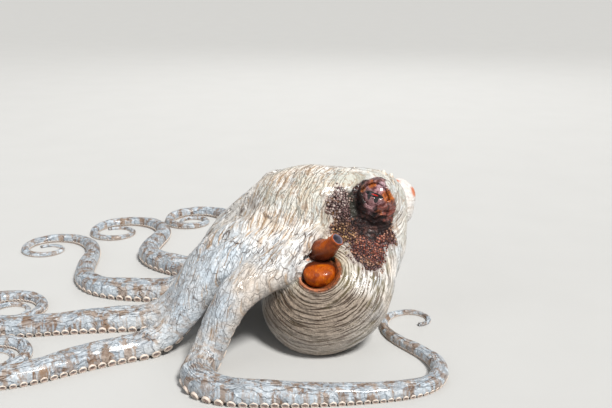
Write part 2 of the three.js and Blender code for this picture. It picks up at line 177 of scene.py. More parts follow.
def noise(points, size, seed=0):
    """Smooth noise from -1 to 1. size is the distance between lattice points, one or three numbers."""
    p = points / np.asarray(size, float)
    cell = np.floor(p).astype(np.int64)
    return blend_corners(step(p - cell, 0, 1), lambda corner: grain(cell + corner, seed)) * 2 - 1


def line_distance(points, knots):
    """The distance to a round line through the knots, which are places and radii."""
    nearest = np.full(len(points), 1e3)
    for (start, thick), (end, thin) in zip(knots, knots[1:]):
        a, b = np.array(start, float), np.array(end, float)
        t = np.clip((points - a) @ (b - a) / np.dot(b - a, b - a), 0, 1)
        away = apart(points, a + t[:, None] * (b - a)) - (thick + (thin - thick) * t)
        nearest = np.minimum(nearest, away)
    return nearest


def spots_distance(points, spots):
    """The distance to the nearest of some balls, which are centres and radii."""
    return np.minimum.reduce([apart(points, centre) - radius for centre, radius in spots])


# ---------------------------------------------------------------- the trunk's shape


class Body:
    """Something with a centre and three directions of its own."""

    def place(self, points):
        return (points - self.centre) @ self.axes.T


class Ellipsoid(Body):
    def __init__(self, centre, axis, up, radii):
        x = unit(axis)
        z = unit(np.array(up, float) - x * np.dot(up, x))
        self.centre = np.array(centre, float)
        self.axes = np.array((x, np.cross(z, x), z))
        self.radii = np.array(radii, float)

    def distance(self, points):
        q = self.place(points) / self.radii
        near = np.sqrt((q * q).sum(-1))
        slope = np.sqrt(((q / self.radii) ** 2).sum(-1))
        return near * (near - 1) / np.maximum(slope, 1e-6)


HEAD_SIDE = unit(EYE_LEFT - EYE_RIGHT)
HEAD_BACK = unit(-np.array(SKULL[1], float))
mantle, neck, skull, brow, crown = (Ellipsoid(*shape) for shape in (MANTLE, NECK, SKULL, BROW, CROWN))
turrets = [Ellipsoid(eye - TURRET_DROP, HEAD_SIDE, SKULL[2], TURRET_RADII)
           for eye in (EYE_LEFT, EYE_RIGHT)]
pocket = Ellipsoid(*POCKET)
slit = Ellipsoid(*SLIT)


class Eye(Body):
    """An eyeball's centre, and its own directions: along the pupil, across it, and outwards."""

    def __init__(self, centre, out):
        self.centre = centre + out * EYEBALL_OUT
        along = unit(HEAD_BACK - out * np.dot(HEAD_BACK, out))
        over = np.cross(out, along)
        if over[2] < 0:
            over = -over
        cos, sin = math.cos(PUPIL_TILT), math.sin(PUPIL_TILT)
        self.axes = np.array((along * cos - over * sin, over * cos + along * sin, out))


EYES = {"left": Eye(EYE_LEFT, HEAD_SIDE), "right": Eye(EYE_RIGHT, -HEAD_SIDE)}

LID = 1.2                # thickness of the lids over the eyeball
LID_BLEND = 3.0
LID_EDGE = 0.9
LID_GAP_LONG = 8.9       # half the length of the opening between the lids
LID_GAP_HIGH = 7.2       # half its height
SOCKET_RADIUS = EYEBALL_RADIUS - 0.8


def eye_opening(eye, points):
    """Negative between the lids, down to just inside the eyeball."""
    q = eye.place(points)
    edge = LID_GAP_HIGH * (1 - (q[:, 0] / LID_GAP_LONG) ** 2)
    steep = np.sqrt(1 + (2 * LID_GAP_HIGH * q[:, 0] / LID_GAP_LONG ** 2) ** 2)
    between = (np.abs(q[:, 1]) - edge) / np.minimum(steep, 3)
    return np.maximum(np.maximum(between, SOCKET_RADIUS - np.linalg.norm(q, axis=1)), -q[:, 2])


def whole_trunk(points):
    d = mantle.distance(points)
    for part in (neck, skull, brow, crown):
        d = melt(d, part.distance(points), TRUNK_BLEND)
    for turret in turrets:
        d = melt(d, turret.distance(points), TURRET_BLEND)
    return d


def trunk_distance(points):
    return carve(whole_trunk(points), pocket.distance(points), POCKET_BLEND)


def with_lids(d, points):
    for eye in EYES.values():
        d = melt(d, apart(points, eye.centre) - (EYEBALL_RADIUS + LID), LID_BLEND)
        d = carve(d, eye_opening(eye, points), LID_EDGE)
    return d


# ---------------------------------------------------------------- the arms

SPACING = 1.0                      # between the samples of an arm's line
JOIN = 150.0                       # where the skin of the trunk hands over to the free arm
NEIGHBOUR_GAP = 0.8
LEAVE_ALONG = 0.7                  # how an arm leaves its root: towards the shoulder, and outwards
LEAVE_OUT = 0.45
HANDLE_ROOT = 0.4                  # lengths of the curves' handles, as shares of each span
HANDLE_SHOULDER = 0.35
HANDLE_TOUCH = 0.45
CROWN_AXIS = unit(CROWN[1])


def arm_radius(s):
    return ARM_TIP + (ARM_BASE - ARM_TIP) * np.maximum(1 - s / ARM_LENGTH, 0) ** ARM_TAPER


def bezier(a, b, c, d, count=200):
    t = np.linspace(0, 1, count)[:, None]
    return a * (1 - t) ** 3 + 3 * b * t * (1 - t) ** 2 + 3 * c * t * t * (1 - t) + d * t ** 3


class Arm:
    """An arm's line from the crown to the tip, with its directions at each sample."""

    def __init__(self, root, shoulder, touch, heading, bends):
        start, middle = np.array(root, float), np.array(shoulder, float)
        out = unit(start - crown.centre)
        turn = math.radians(heading)
        ahead = np.array((math.cos(turn), math.sin(turn), 0))
        end = np.array((*touch, 0.0))
        rise = np.linalg.norm(middle - start)
        end[2] = arm_radius(rise + np.linalg.norm(end - middle)) * ORAL
        fall = np.linalg.norm(end - middle)
        over = unit(end - start)
        leave = unit(middle - start) * LEAVE_ALONG + out * LEAVE_OUT
        before, after = (over * span * HANDLE_SHOULDER for span in (rise, fall))
        drape = np.vstack((
            bezier(start, start + leave * rise * HANDLE_ROOT, middle - before, middle),
            bezier(middle, middle + after, end - ahead * fall * HANDLE_TOUCH, end)[1:],
        ))
        measure = np.append(0, np.cumsum(np.linalg.norm(np.diff(drape, axis=0), axis=1)))
        s = np.arange(0, ARM_LENGTH + SPACING / 2, SPACING)
        line = np.stack([np.interp(s, measure, drape[:, i]) for i in range(3)], -1)
        landed = s > measure[-1]
        bend = np.interp(s - measure[-1], *np.array(bends, float).T) / 10
        turns = turn + np.radians(np.cumsum(np.where(landed, bend, 0)) * SPACING)
        steps = np.stack((np.cos(turns), np.sin(turns)), -1) * SPACING * landed[:, None]
        line[:, :2] = np.where(landed[:, None], end[:2] + np.cumsum(steps, axis=0), line[:, :2])
        line[:, 2] = np.where(landed, arm_radius(s) * ORAL, line[:, 2])
        self.line = line
        self.along = unit(np.gradient(line, axis=0))
        share = step(s, 0, measure[-1])[:, None]
        top = out * (1 - share) + np.array((0, 0, 1.0)) * share
        self.top = unit(top - self.along * (top * self.along).sum(1)[:, None])
        self.across = np.cross(self.top, self.along)
        self.half = arm_radius(s)

    def at(self, values, s):
        i = np.clip(s / SPACING, 0, len(self.line) - 1.001)
        low = i.astype(int)
        part = (i - low)[..., None] if values.ndim > 1 else i - low
        return values[low] * (1 - part) + values[low + 1] * part

    def spot(self, s):
        """The point of the line at one place, and the directions across, up and along there."""
        return [self.at(values, s) for values in (self.line, self.across, self.top, self.along)]

    def outline(self, s, phi):
        """Points of the arm's skin: phi is 90 degrees on top and -90 on the sucker side."""
        across = np.cos(phi) * self.at(self.half, s)
        over = np.sin(phi)
        height = np.where(over > 0, ABORAL * over, -ORAL * np.abs(over) ** ORAL_ROUND) * arm_radius(s)
        points = (self.at(self.line, s) + self.at(self.across, s) * across[..., None]
                  + self.at(self.top, s) * height[..., None])
        points[..., 2] = np.maximum(points[..., 2], 0)
        return points


arms = {name: Arm(*shape) for name, shape in ARMS.items()}
for place, name in enumerate(ARM_NAMES):
    for other in (ARM_NAMES[place - 1], ARM_NAMES[(place + 1) % len(ARM_NAMES)]):
        between = np.linalg.norm(arms[name].line - arms[other].line, axis=1) / 2 + NEIGHBOUR_GAP
        arms[name].half = np.minimum(arms[name].half, between)

# ---------------------------------------------------------------- distances on a grid

VOXEL = 2.0
BAND = 6                           # voxels on each side in which a distance is exact
OUTSIDE = 3.0 * BAND * VOXEL
GRID_LOW = np.array((-166.0, -106.0, -7.2))
GRID_HIGH = np.array((96.0, 170.0, 110.0))
GRID_SHAPE = tuple(np.ceil((GRID_HIGH - GRID_LOW) / VOXEL).astype(int) + 1)
ARM_MELT = 8.0
WEB_MELT = 5.0


def tube_faces(rings, sides):
    i, k = np.meshgrid(np.arange(rings - 1), np.arange(sides), indexing="ij")
    a = i * sides + k
    b = i * sides + (k + 1) % sides
    return np.stack((a, b, b + sides, a + sides), -1).reshape(-1, 4)


def level_set(points, quads, triangles):
    """The distance to a closed mesh at every point of the grid, cut off outside the band."""
    grid = openvdb.FloatGrid.createLevelSetFromPolygons(
        np.ascontiguousarray(points - GRID_LOW, np.float32), triangles=triangles.astype(np.uint32),
        quads=quads.astype(np.uint32), halfWidth=BAND,
        transform=openvdb.createLinearTransform(voxelSize=VOXEL))
    values = np.zeros(GRID_SHAPE, np.float32)
    grid.copyToArray(values, ijk=(0, 0, 0))
    return values


def arm_grid(arm):
    sides = 24
    s = np.arange(4, JOIN + 10, 3.0)
    phi = np.linspace(0, 2 * math.pi, sides, endpoint=False)
    points = arm.outline(*np.broadcast_arrays(s[:, None], phi[None, :]))
    last = (len(s) - 1) * sides
    fan = [(0, k + 1, k) for k in range(1, sides - 1)]
    fan += [(last, last + k, last + k + 1) for k in range(1, sides - 1)]
    return level_set(points.reshape(-1, 3), tube_faces(len(s), sides), np.array(fan))


def web_grid(first, second, reach, depth, pull):
    """A web as a thin closed sheet between two arms' lines."""
    rows, columns = 40, 16

    def middle(s, t):
        lift = WEB_LIFT * arm_radius(s)[..., None]
        a, b = (arm.at(arm.line, s) + arm.at(arm.top, s) * lift for arm in (arms[first], arms[second]))
        belly = (4 * t * (1 - t) * step(s, 0, depth))[..., None]
        return a * (1 - t[..., None]) + b * t[..., None] + CROWN_AXIS * pull * belly

    t = np.broadcast_to(np.linspace(0, 1, columns + 1), (rows + 1, columns + 1))
    edge = reach + (depth - reach) * np.sin(math.pi * t) ** WEB_ARCH
    s = WEB_START + (edge - WEB_START) * np.linspace(0, 1, rows + 1)[:, None]
    p = middle(s, t)
    beside = middle(s, np.minimum(t + 0.02, 1)) - middle(s, np.maximum(t - 0.02, 0))
    half = unit(np.cross(middle(s + 1, t) - p, beside)) * WEB_THICKNESS / 2
    points = np.concatenate(((p + half).reshape(-1, 3), (p - half).reshape(-1, 3)))
    points[:, 2] = np.maximum(points[:, 2], WEB_LOWEST)
    index = np.arange(t.size).reshape(t.shape)
    c = index[:-1, :-1].ravel()
    over = np.stack((c, c + columns + 1, c + columns + 2, c + 1), -1)
    ring = np.concatenate((index[0], index[1:, -1], index[-1, -2::-1], index[-2:0:-1, 0]))
    after = np.roll(ring, -1)
    rim = np.stack((ring, after, after + t.size, ring + t.size), -1)
    return level_set(points, np.concatenate((over, over[:, ::-1] + t.size, rim)), np.zeros((0, 3), int))


limbs = np.full(GRID_SHAPE, OUTSIDE, np.float32)
for arm in arms.values():
    limbs = melt(limbs, arm_grid(arm), ARM_MELT)
for web in WEBS:
    limbs = melt(limbs, web_grid(*web), WEB_MELT)


def limb_distance(points):
    """The distance to the arms and webs, read between the grid's points."""
    q = np.clip((points - GRID_LOW) / VOXEL, 0, np.array(GRID_SHAPE) - 1.001)
    low = q.astype(int)
    return blend_corners(q - low, lambda corner: limbs[tuple((low + corner).T)])


HEM_BLEND = 3.0
HEAD_BLEND = 9.0         # how softly the arms grow out of the head
MANTLE_BLEND = 1.6       # how softly they lie against the mantle
FLOOR_BLEND = 0.8


def flesh_distance(points, limb):
    """The whole skin's distance, with the lids left out."""
    rest = np.minimum.reduce([part.distance(points) for part in (neck, skull, brow, crown)])
    soft = HEAD_BLEND + (MANTLE_BLEND - HEAD_BLEND) * step(rest - mantle.distance(points), -2, 10)
    d = melt(trunk_distance(points), limb, soft)
    d = carve(d, slit.distance(points), SLIT_BLEND)
    d = melt(d, line_distance(points, HEM), HEM_BLEND)
    return carve(d, points[:, 2], FLOOR_BLEND)


def skin_distance(points):
    return with_lids(flesh_distance(points, limb_distance(points)), points)


SETTLE_ROUNDS = 2
SETTLE_REACH = 1.5
SLOPE_STEP = 0.15


def settle(points):
    """Points moved onto the skin."""
    for _ in range(SETTLE_ROUNDS):
        d = skin_distance(points)
        ahead = np.stack([skin_distance(points + SLOPE_STEP * axis) for axis in np.eye(3)], -1)
        slope = (ahead - d[:, None]) / SLOPE_STEP
        length = np.maximum((slope ** 2).sum(1), 0.2)
        move = -slope * (d / length)[:, None]
        size = np.linalg.norm(move, axis=1)
        points = points + move * np.minimum(1, SETTLE_REACH / np.maximum(size, 1e-9))[:, None]
    return points


# ---------------------------------------------------------------- the skin's mesh

SHIFT = np.mean(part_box("eye_left"), axis=0) / MM - EYES["left"].centre


def to_metres(points):
    return (points + SHIFT) * MM


def placed(name, data):
    """An object of the scene with its data."""
    thing = bpy.data.objects.new(name, data)
    bpy.context.scene.collection.objects.link(thing)
    return thing


def mesh_object(name, points, faces):
    """A smooth object whose mesh is already in its place."""
    mesh = bpy.data.meshes.new(name)
    mesh.from_pydata(to_metres(points).tolist(), [], [tuple(face) for face in faces])
    mesh.update()
    mesh.shade_smooth()
    return placed(name, mesh)


@contextmanager
def edited(mesh):
    """A mesh open for bmesh's operators, written back at the end."""
    opened = bmesh.new()
    opened.from_mesh(mesh)
    yield opened
    opened.to_mesh(mesh)
    opened.free()


def store(thing, name, values):
    """Keeps one number or three for each point."""
    kind, key = ("FLOAT_VECTOR", "vector") if values.ndim > 1 else ("FLOAT", "value")
    attribute = thing.data.attributes.new(name, kind, "POINT")
    attribute.data.foreach_set(key, np.ascontiguousarray(values, np.float32).ravel())


def read(data, key):
    """Three numbers for each element."""
    values = np.zeros(len(data) * 3, np.float32)
    data.foreach_get(key, values)
    return values.reshape(-1, 3)


def first_skin():
    """The skin as even squares, straight from the grid."""
    axes = [GRID_LOW[i] + np.arange(GRID_SHAPE[i]) * VOXEL for i in range(3)]
    points = np.stack(np.meshgrid(*axes, indexing="ij"), -1).reshape(-1, 3)
    values = with_lids(flesh_distance(points, limbs.reshape(-1)), points)
    grid = openvdb.FloatGrid(OUTSIDE)
    grid.copyFromArray(values.reshape(GRID_SHAPE).astype(np.float32))
    corners, squares = grid.convertToQuads(0.0)
    mesh = bpy.data.meshes.new("first_skin")
    mesh.from_pydata((corners * VOXEL + GRID_LOW).tolist(), [], squares.tolist())
    flesh = bmesh.new()
    flesh.from_mesh(mesh)
    bpy.data.meshes.remove(mesh)
    bmesh.ops.recalc_face_normals(flesh, faces=flesh.faces)
    return flesh


CUT_REACH = 2.2          # how far round the arm's line the cut goes, in radii
CUT_WIDTH = 1.47         # how far round it faces beyond the cut are taken off, in radii
CUT_LENGTH = 16.0        # how far beyond the cut they are taken off
RIM_WIDTH = 1.7          # how far from the line the rim lies at most, in radii


def open_end(flesh, arm):
    """Cuts an arm off square at JOIN, leaving an open ring."""
    at, _, _, along = map(Vector, arm.spot(JOIN))
    radius = float(arm_radius(JOIN))
    near = [f for f in flesh.faces if (f.calc_center_median() - at).length < CUT_REACH * radius]
    geometry = near + list({e for f in near for e in f.edges}) + list({v for f in near for v in f.verts})
    bmesh.ops.bisect_plane(flesh, geom=geometry, plane_co=at, plane_no=along, dist=0.05)
    beyond = [Vector(p) for p in arm.at(arm.line, np.arange(JOIN, JOIN + CUT_LENGTH, VOXEL))]

    def cut_off(centre):
        near_line = min((centre - p).length for p in beyond) < CUT_WIDTH * radius
        return (centre - at).dot(along) > 0 and near_line

    gone = [face for face in flesh.faces if cut_off(face.calc_center_median())]
    bmesh.ops.delete(flesh, geom=gone, context="FACES")


def drop_scraps(flesh):
    """Leaves only the largest piece of the mesh."""
    pieces = []
    seen = set()
    for start in flesh.verts:
        if start in seen:
            continue
        piece = [start]
        seen.add(start)
        for v in piece:
            fresh = [other for other in (e.other_vert(v) for e in v.link_edges) if other not in seen]
            seen.update(fresh)
            piece.extend(fresh)
        pieces.append(piece)
    scraps = [v for piece in sorted(pieces, key=len)[:-1] for v in piece]
    bmesh.ops.delete(flesh, geom=scraps, context="VERTS")


EVEN_ROUNDS = 2


def even_out(flesh):
    """Draws each point towards the middle of its neighbours and lays it back on the surface."""
    flesh.verts.index_update()
    edges = np.array([[v.index for v in e.verts] for e in flesh.edges])
    fixed = np.array([v.is_boundary for v in flesh.verts])[:, None]
    points = np.array([v.co for v in flesh.verts])
    count = np.maximum(np.bincount(edges.ravel(), minlength=len(points)), 1)[:, None]
    one, other = edges.T
    for _ in range(EVEN_ROUNDS):
        total = [np.bincount(one, part[other], len(points)) + np.bincount(other, part[one], len(points))
                 for part in points.T]
        middle = np.array(total).T / count
        points = np.where(fixed, points, settle((points + middle) / 2))
    for v, p in zip(flesh.verts, points):
        v.co = p
    flesh.normal_update()


FRONT = unit((0, -0.9613, 0.2756))


# Where the mesh is finer: within balls, and in front below the head, out to SIDES, back and down.
HEAD_BALL = (((38, 14, 80), 31),)
EYE_BALLS = ((EYES["left"].centre, 14), (EYES["right"].centre, 11.5))
FRONT_SIDES, FRONT_BACK, FRONT_LOW = 66, 25, 8


def finer(flesh, balls, front=False):
    """Divides the edges of the faces within the balls, and of those in front if asked."""
    centres = np.array([f.calc_center_median() for f in flesh.faces])
    chosen = spots_distance(centres, balls) < 0
    if front:
        facing = np.array([f.normal for f in flesh.faces]) @ FRONT > 0.1
        across, back, up = centres.T
        chosen |= facing & (np.abs(across) < FRONT_SIDES) & (back < FRONT_BACK) & (up > FRONT_LOW)
    edges = {e for f, take in zip(flesh.faces, chosen) if take for e in f.edges}
    bmesh.ops.subdivide_edges(flesh, edges=list(edges), cuts=1, use_grid_fill=True)
    flesh.normal_update()
    even_out(flesh)


TUBE_STEP = 1.9          # the least distance between the rings of a free arm
TUBE_SHARE = 0.55        # the distance as a share of the arm's radius
TIP_INSET = 0.4


def loft_arm(arm, ring, rim, start):
    """The free arm from an open ring of the skin to its tip: its points, faces, places and angles."""
    at, beside, top, _ = arm.spot(JOIN)
    across = (ring - at) @ beside / arm.at(arm.half, JOIN)
    over = (ring - at) @ top / arm_radius(JOIN)
    over = np.where(over > 0, over / ABORAL, -np.abs(over / ORAL) ** (1 / ORAL_ROUND))
    phi = np.arctan2(over, across)
    order = np.argsort(phi)
    phi = phi[order]
    sides = len(order)
    stations = [JOIN]
    while stations[-1] < ARM_LENGTH - 1.5:
        stations.append(stations[-1] + max(TUBE_STEP, TUBE_SHARE * float(arm_radius(stations[-1]))))
    s = np.array(stations[1:])
    left_over = ring[order] - arm.outline(np.full(sides, JOIN), phi)
    even = np.linspace(phi[0], phi[0] + 2 * math.pi, sides, endpoint=False)
    share = step(s, JOIN, JOIN + 40)[:, None]
    angles = phi * (1 - share) + even * share
    places = np.broadcast_to(s[:, None], angles.shape)
    points = arm.outline(places, angles) + left_over * np.exp(-(s - JOIN) / 5)[:, None, None]
    points = np.concatenate((points.reshape(-1, 3), arm.at(arm.line, ARM_LENGTH - TIP_INSET)[None]))
    this = np.arange(sides)
    after = (this + 1) % sides
    edge = rim[order]
    last = start + (len(s) - 1) * sides
    tip = np.full(sides, start + len(points) - 1)
    faces = [*zip(edge, edge[after], start + after, start + this), *(tube_faces(len(s), sides) + start),
             *zip(last + this, last + after, tip)]
    return points, faces, np.append(places, ARM_LENGTH), np.append(angles, math.pi / 2)


def skin_shape():
    """The skin's points and faces, and each point's arm, with its place and its angle on it."""
    flesh = first_skin()
    for arm in arms.values():
        open_end(flesh, arm)
    drop_scraps(flesh)
    even_out(flesh)
    finer(flesh, HEAD_BALL, front=True)
    finer(flesh, EYE_BALLS)
    flesh.verts.index_update()
    points = np.array([v.co for v in flesh.verts])
    faces = [tuple(v.index for v in f.verts) for f in flesh.faces]
    rims = np.array([v.index for v in flesh.verts if v.is_boundary])
    flesh.free()
    blocks = [points]
    on_arms = [np.broadcast_to((-1, 0, 0), (len(points), 3))]
    for number, arm in enumerate(arms.values()):
        rim = rims[apart(points[rims], arm.spot(JOIN)[0]) < RIM_WIDTH * arm_radius(JOIN)]
        more, tube, places, angles = loft_arm(arm, points[rim], rim, sum(map(len, blocks)))
        faces += tube
        blocks.append(more)
        on_arms.append(np.stack((np.full(len(more), number), places, angles), -1))
    return np.concatenate(blocks), faces, *np.concatenate(on_arms).T


# ---------------------------------------------------------------- marks on the skin

LANE = 26.0              # how far apart the arms' lines are laid in the pattern's own width
LANE_STEP = 2.0
CHUNK = 20000
FAR = 1e3
ORDER_PLACE = 80         # the sample at which the side of the next arm is read


def lane_places(points):
    """Each point's place across and along the fan of arms and webs, in millimetres."""
    s = np.arange(0, JOIN + 10, LANE_STEP)
    found = []
    for arm in arms.values():
        line = arm.at(arm.line, s)
        parts = (points[first:first + CHUNK] for first in range(0, len(points), CHUNK))
        squares = ((part ** 2).sum(1)[:, None] + (line ** 2).sum(1) - 2 * part @ line.T for part in parts)
        nearest = np.concatenate([square.argmin(1) for square in squares])
        away = points - line[nearest]
        aside = (away * arm.at(arm.across, s)[nearest]).sum(1)
        found.append((np.linalg.norm(away, axis=1), s[nearest], aside))
    distance, along, aside = np.array(found).swapaxes(0, 1)
    first, second = (arms[name] for name in ARM_NAMES[:2])
    gap = second.line[ORDER_PLACE] - first.line[ORDER_PLACE]
    aside = aside * np.sign(np.dot(gap, first.across[ORDER_PLACE]))
    own = distance.argmin(0)
    rows = np.arange(len(points))
    last = len(found) - 1
    before = np.where(own > 0, distance[np.maximum(own - 1, 0), rows], FAR)
    after = np.where(own < last, distance[np.minimum(own + 1, last), rows], FAR)
    other = np.where(before < after, own - 1, own + 1)
    near, far = distance[own, rows] ** 2, distance[other, rows] ** 2
    share = far / np.maximum(near + far, 1e-6)
    lateral = (own * LANE + aside[own, rows]) * share + (other * LANE + aside[other, rows]) * (1 - share)
    return lateral, along[own, rows] * share + along[other, rows] * (1 - share)


# The dark beaded patch runs from behind the left eye down to the mantle: centres and radii.
PATCH = (
    ((19, -6, 86), 6), ((25, -7, 80), 9), ((23, -13, 70), 7), ((32, -13, 71), 10), ((41, -13, 69), 10),
    ((47, -12, 65), 5), ((36, -21, 62), 10), ((36, -27, 58), 7),
)
PATCH_PALE = (19, -8, 86)
PATCH_BLACK = (31, -10, 76)
PATCH_GOLD = (22, -16, 68)
PATCH_RED = (40, -20, 63)
TURRET_PATCH = ((39.5, -8, 83), (1.2, 1.0, 0.78), 16.0)
BEHIND_EYE = (26.5, 4, 97)
# The groove behind the left eye, as a line without a thickness, and its half width.
GROOVE = (((26, -3, 90), 0), ((27.5, -6, 85), 0), ((28.5, -9, 79), 0))
GROOVE_HALF = 2.6
# Orange spots on the lids of the right eye.
BLUSHES = (((70, 33.5, 82), 3.2), ((59, 34, 90), 2.2))
RIM_RADIUS = 13.0        # of the mantle's opening

# On the left side the folds of the web run steeply down from the top of the head to the arms.
SHEET_ALONG = unit((-0.436, -0.654, -0.62))
SHEET_ACROSS = unit((-0.864, 0.504, 0.076))
NETTED = (-32, -6)       # where down the sheet its long folds give way to a net


def turret_mask(points):
    """1 on the dark ball round the left eye."""
    centre, squeeze, radius = TURRET_PATCH
    d = np.linalg.norm((points - np.array(centre)) * squeeze, axis=1) - radius
    return 1 - step(d + 1.4 * noise(points, 4.0, 5), -2.0, 2.5)


def hollow_mask(points):
    """1 deep inside the mantle's opening, 0 at its rim: where the opening is painted near black as shade."""
    inside = np.minimum(pocket.distance(points), slit.distance(points)) < 1.5
    return step(-whole_trunk(points), 3.0, 7.0) * inside


def skin_marks(points, arm_of, place_on, angle_on):
    """The places and masks that the folds and the colours read, for each point of the skin."""
    m = SimpleNamespace()
    free = arm_of >= 0
    near = points[~free]
    m.lateral = arm_of * LANE + arm_radius(place_on) * np.cos(angle_on)
    m.along = place_on.copy()
    m.lateral[~free], m.along[~free] = lane_places(near)
    m.limb = np.ones(len(points))
    m.limb[~free] = step(trunk_distance(near) - limb_distance(near), -3, 4)
    m.aside, m.down = points @ SHEET_ACROSS, points @ SHEET_ALONG
    reach = np.where(m.limb > 0.02, m.along, 0)
    m.share = (1 - step(points[:, 1], 8, 34)) * (1 - step(points[:, 0], 16, 32)) * (1 - step(reach, 84, 124))
    turn = pocket.place(points)
    m.rim = pocket.distance(points)
    m.arc = np.arctan2(turn[:, 2], turn[:, 0]) * (RIM_RADIUS + np.maximum(m.rim, 0))
    behind = np.minimum(skull.distance(points), brow.distance(points)) - mantle.distance(points)
    m.bag = step(behind, -2, 6) * (1 - m.limb)
    ragged = spots_distance(points, PATCH) + 2.6 * noise(points, 5.0, 3) + 1.8 * noise(points, 2.2, 13)
    m.patch = (1 - step(ragged, -3.0, 5.5)) * (1 - m.limb * 0.7)
    m.turret = turret_mask(points)
    crest = np.exp(-(m.rim / 0.9) ** 2 - (whole_trunk(points) / 1.1) ** 2)
    m.lip = crest * (1 - 0.75 * step(turn[:, 0], 0, 7))
    m.groove = np.exp(-(line_distance(points, GROOVE) / GROOVE_HALF) ** 2)
    m.blush = 1 - step(spots_distance(points, BLUSHES) + noise(points, 2.5, 17), -1.0, 1.0)
    m.deep = hollow_mask(points)
    stretched = 1 - step(apart(points, EYES["right"].centre), 15, 22)
    m.calm = np.maximum(stretched, 0.45 * step(m.down, -10, 12) * m.share)
    # painted shade below and to the left of the mantle's opening
    m.shade = step(-turn[:, 2] - 0.5 * np.maximum(turn[:, 0] - 5, 0), 3, 14)
    return m


def pads(pattern, size, seed):
    """Soft pads with narrow valleys between them: 0 in a valley, 1 on a pad."""
    return np.minimum(np.abs(noise(pattern, size, seed)) * 3.2, 1)


def long_pads(across, along):
    """Pads drawn out along a limb."""
    place = np.stack((across, along, np.zeros(len(along))), -1)
    down = np.minimum(pads(place, (2.6, 17, 1), 1), 0.3 + 0.7 * pads(place, (1.9, 11, 1), 2))
    return np.minimum(down, 0.1 + 0.9 * pads(place, (5.5, 30, 1), 12))


def blend(a, b, share):
    return a * (1 - share) + b * share


def relief_of(points, m):
    """Which points lie in a crease, 0, and which on a pad, 1."""
    ring = np.stack((m.rim, m.arc, np.zeros(len(points))), -1)
    down = blend(long_pads(m.aside, m.down), long_pads(m.aside, m.down * 1.8), step(m.down, *NETTED))
    down = blend(long_pads(m.lateral, m.along), down, m.share)
    hoops = np.minimum(pads(ring, (1.9, 24, 1), 14), 0.3 + 0.7 * pads(ring, (2.8, 34, 1), 15))
    relief = blend(down, hoops, m.bag)
    relief = blend(relief, pads(points, 2.0, 6), m.patch * (1 - m.turret))
    return blend(relief, pads(points, 5.0, 16), m.turret)


def eye_folds(points):
    """Rings of soft folds outside the lids, deeper below the eye."""
    total = np.zeros(len(points))
    for eye in EYES.values():
        q = eye.place(points)
        ring = np.sqrt((q[:, 0] / LID_GAP_LONG) ** 2 + (q[:, 1] / LID_GAP_HIGH) ** 2)
        close = step(q[:, 2], -6, 2) * (1 - step(np.linalg.norm(q, axis=1), 15, 22))
        below = 0.6 + 0.7 * step(-q[:, 1], 0, 8)
        wave = np.sin(2 * math.pi * (ring - 1.05) / 0.5 + 2.4 * noise(points, 5.0, 11))
        total += 0.6 * below * wave * step(ring, 1.15, 1.5) * close
        total += 0.45 * np.exp(-((ring - 1.14) / 0.09) ** 2) * close
    return total


PAD_LEVEL = 0.7          # the relief that stays at the skin's own height
FOLD_DEPTHS = (0.35, 0.75, 0.45, 0.6, 0.35)     # on the arms, more on the webs, head, mantle, turret
SMOOTHING = 0.85         # how much of the folds is lost where the skin is calm
WAVE_LENGTH = 3.1        # of the rings round the mantle's opening
GROOVE_DEPTH = 1.4
LIP_HEIGHT = 0.7


def folds(points, normals, m):
    """How far the skin rises at each point, in millimetres."""
    upper = step(normals[:, 2], -0.75, -0.2)
    near_crown = 1 - step(m.along, 90, 220)
    head = (1 - m.limb) * (1 - m.bag)
    on_arm, on_web, on_head, on_bag, on_turret = FOLD_DEPTHS
    deep = m.limb * (on_arm + on_web * near_crown) + head * on_head + m.bag * on_bag
    deep = blend(deep, on_turret, m.turret)
    rise = deep * (m.pad - PAD_LEVEL) * upper * (1 - SMOOTHING * m.calm)
    rise -= m.bag * 0.6 * np.exp(-((m.rim - 2.8) / 0.9) ** 2)
    waves = np.sin(2 * math.pi * (m.rim + 0.9 * noise(points, 11.0, 4)) / WAVE_LENGTH)
    rise += m.bag * step(m.rim, 2.5, 5) * (1 - step(m.rim, 12, 28)) * 0.4 * waves
    rise += (0.5 * noise(points, 17.0, 9) + 0.25 * noise(points, 7.0, 10)) * step(points[:, 2], 0.5, 6)
    rise += eye_folds(points) * (1 - 0.5 * m.calm) - GROOVE_DEPTH * m.groove + LIP_HEIGHT * m.lip
    opening = np.minimum.reduce([eye_opening(eye, points) for eye in EYES.values()])
    return rise * step(opening, 0.2, 1.2) * step(points[:, 2], 0.05, 1.0)


# What the skin's finish reads: the attributes and the marks that each of them carries.
STORED = {
    "lane": ("lateral", "along", "limb"), "marks": ("patch", "turret", "bag"),
    "spots": ("lip", "groove", "blush"), "hollow": ("deep", "shade", "calm"),
    "sheet": ("aside", "down", "share"), "ring": ("rim", "arc", "pad"),
}


def make_skin():
    points, faces, *on_arm = skin_shape()
    skin = mesh_object("skin", points, faces)
    marks = skin_marks(points, *on_arm)
    marks.pad = relief_of(points, marks)
    normals = read(skin.data.vertex_normals, "vector").astype(float)
    raised = points + normals * folds(points, normals, marks)[:, None]
    raised[:, 2] = np.maximum(raised[:, 2], 0)
    skin.data.vertices.foreach_set("co", to_metres(raised).astype(np.float32).ravel())
    skin.data.update()
    for name, parts in STORED.items():
        store(skin, name, np.stack([getattr(marks, part) for part in parts], -1))
    store(skin, "gaze", EYES["left"].place(points))
    return skin


# ---------------------------------------------------------------- eyes, funnel and collar


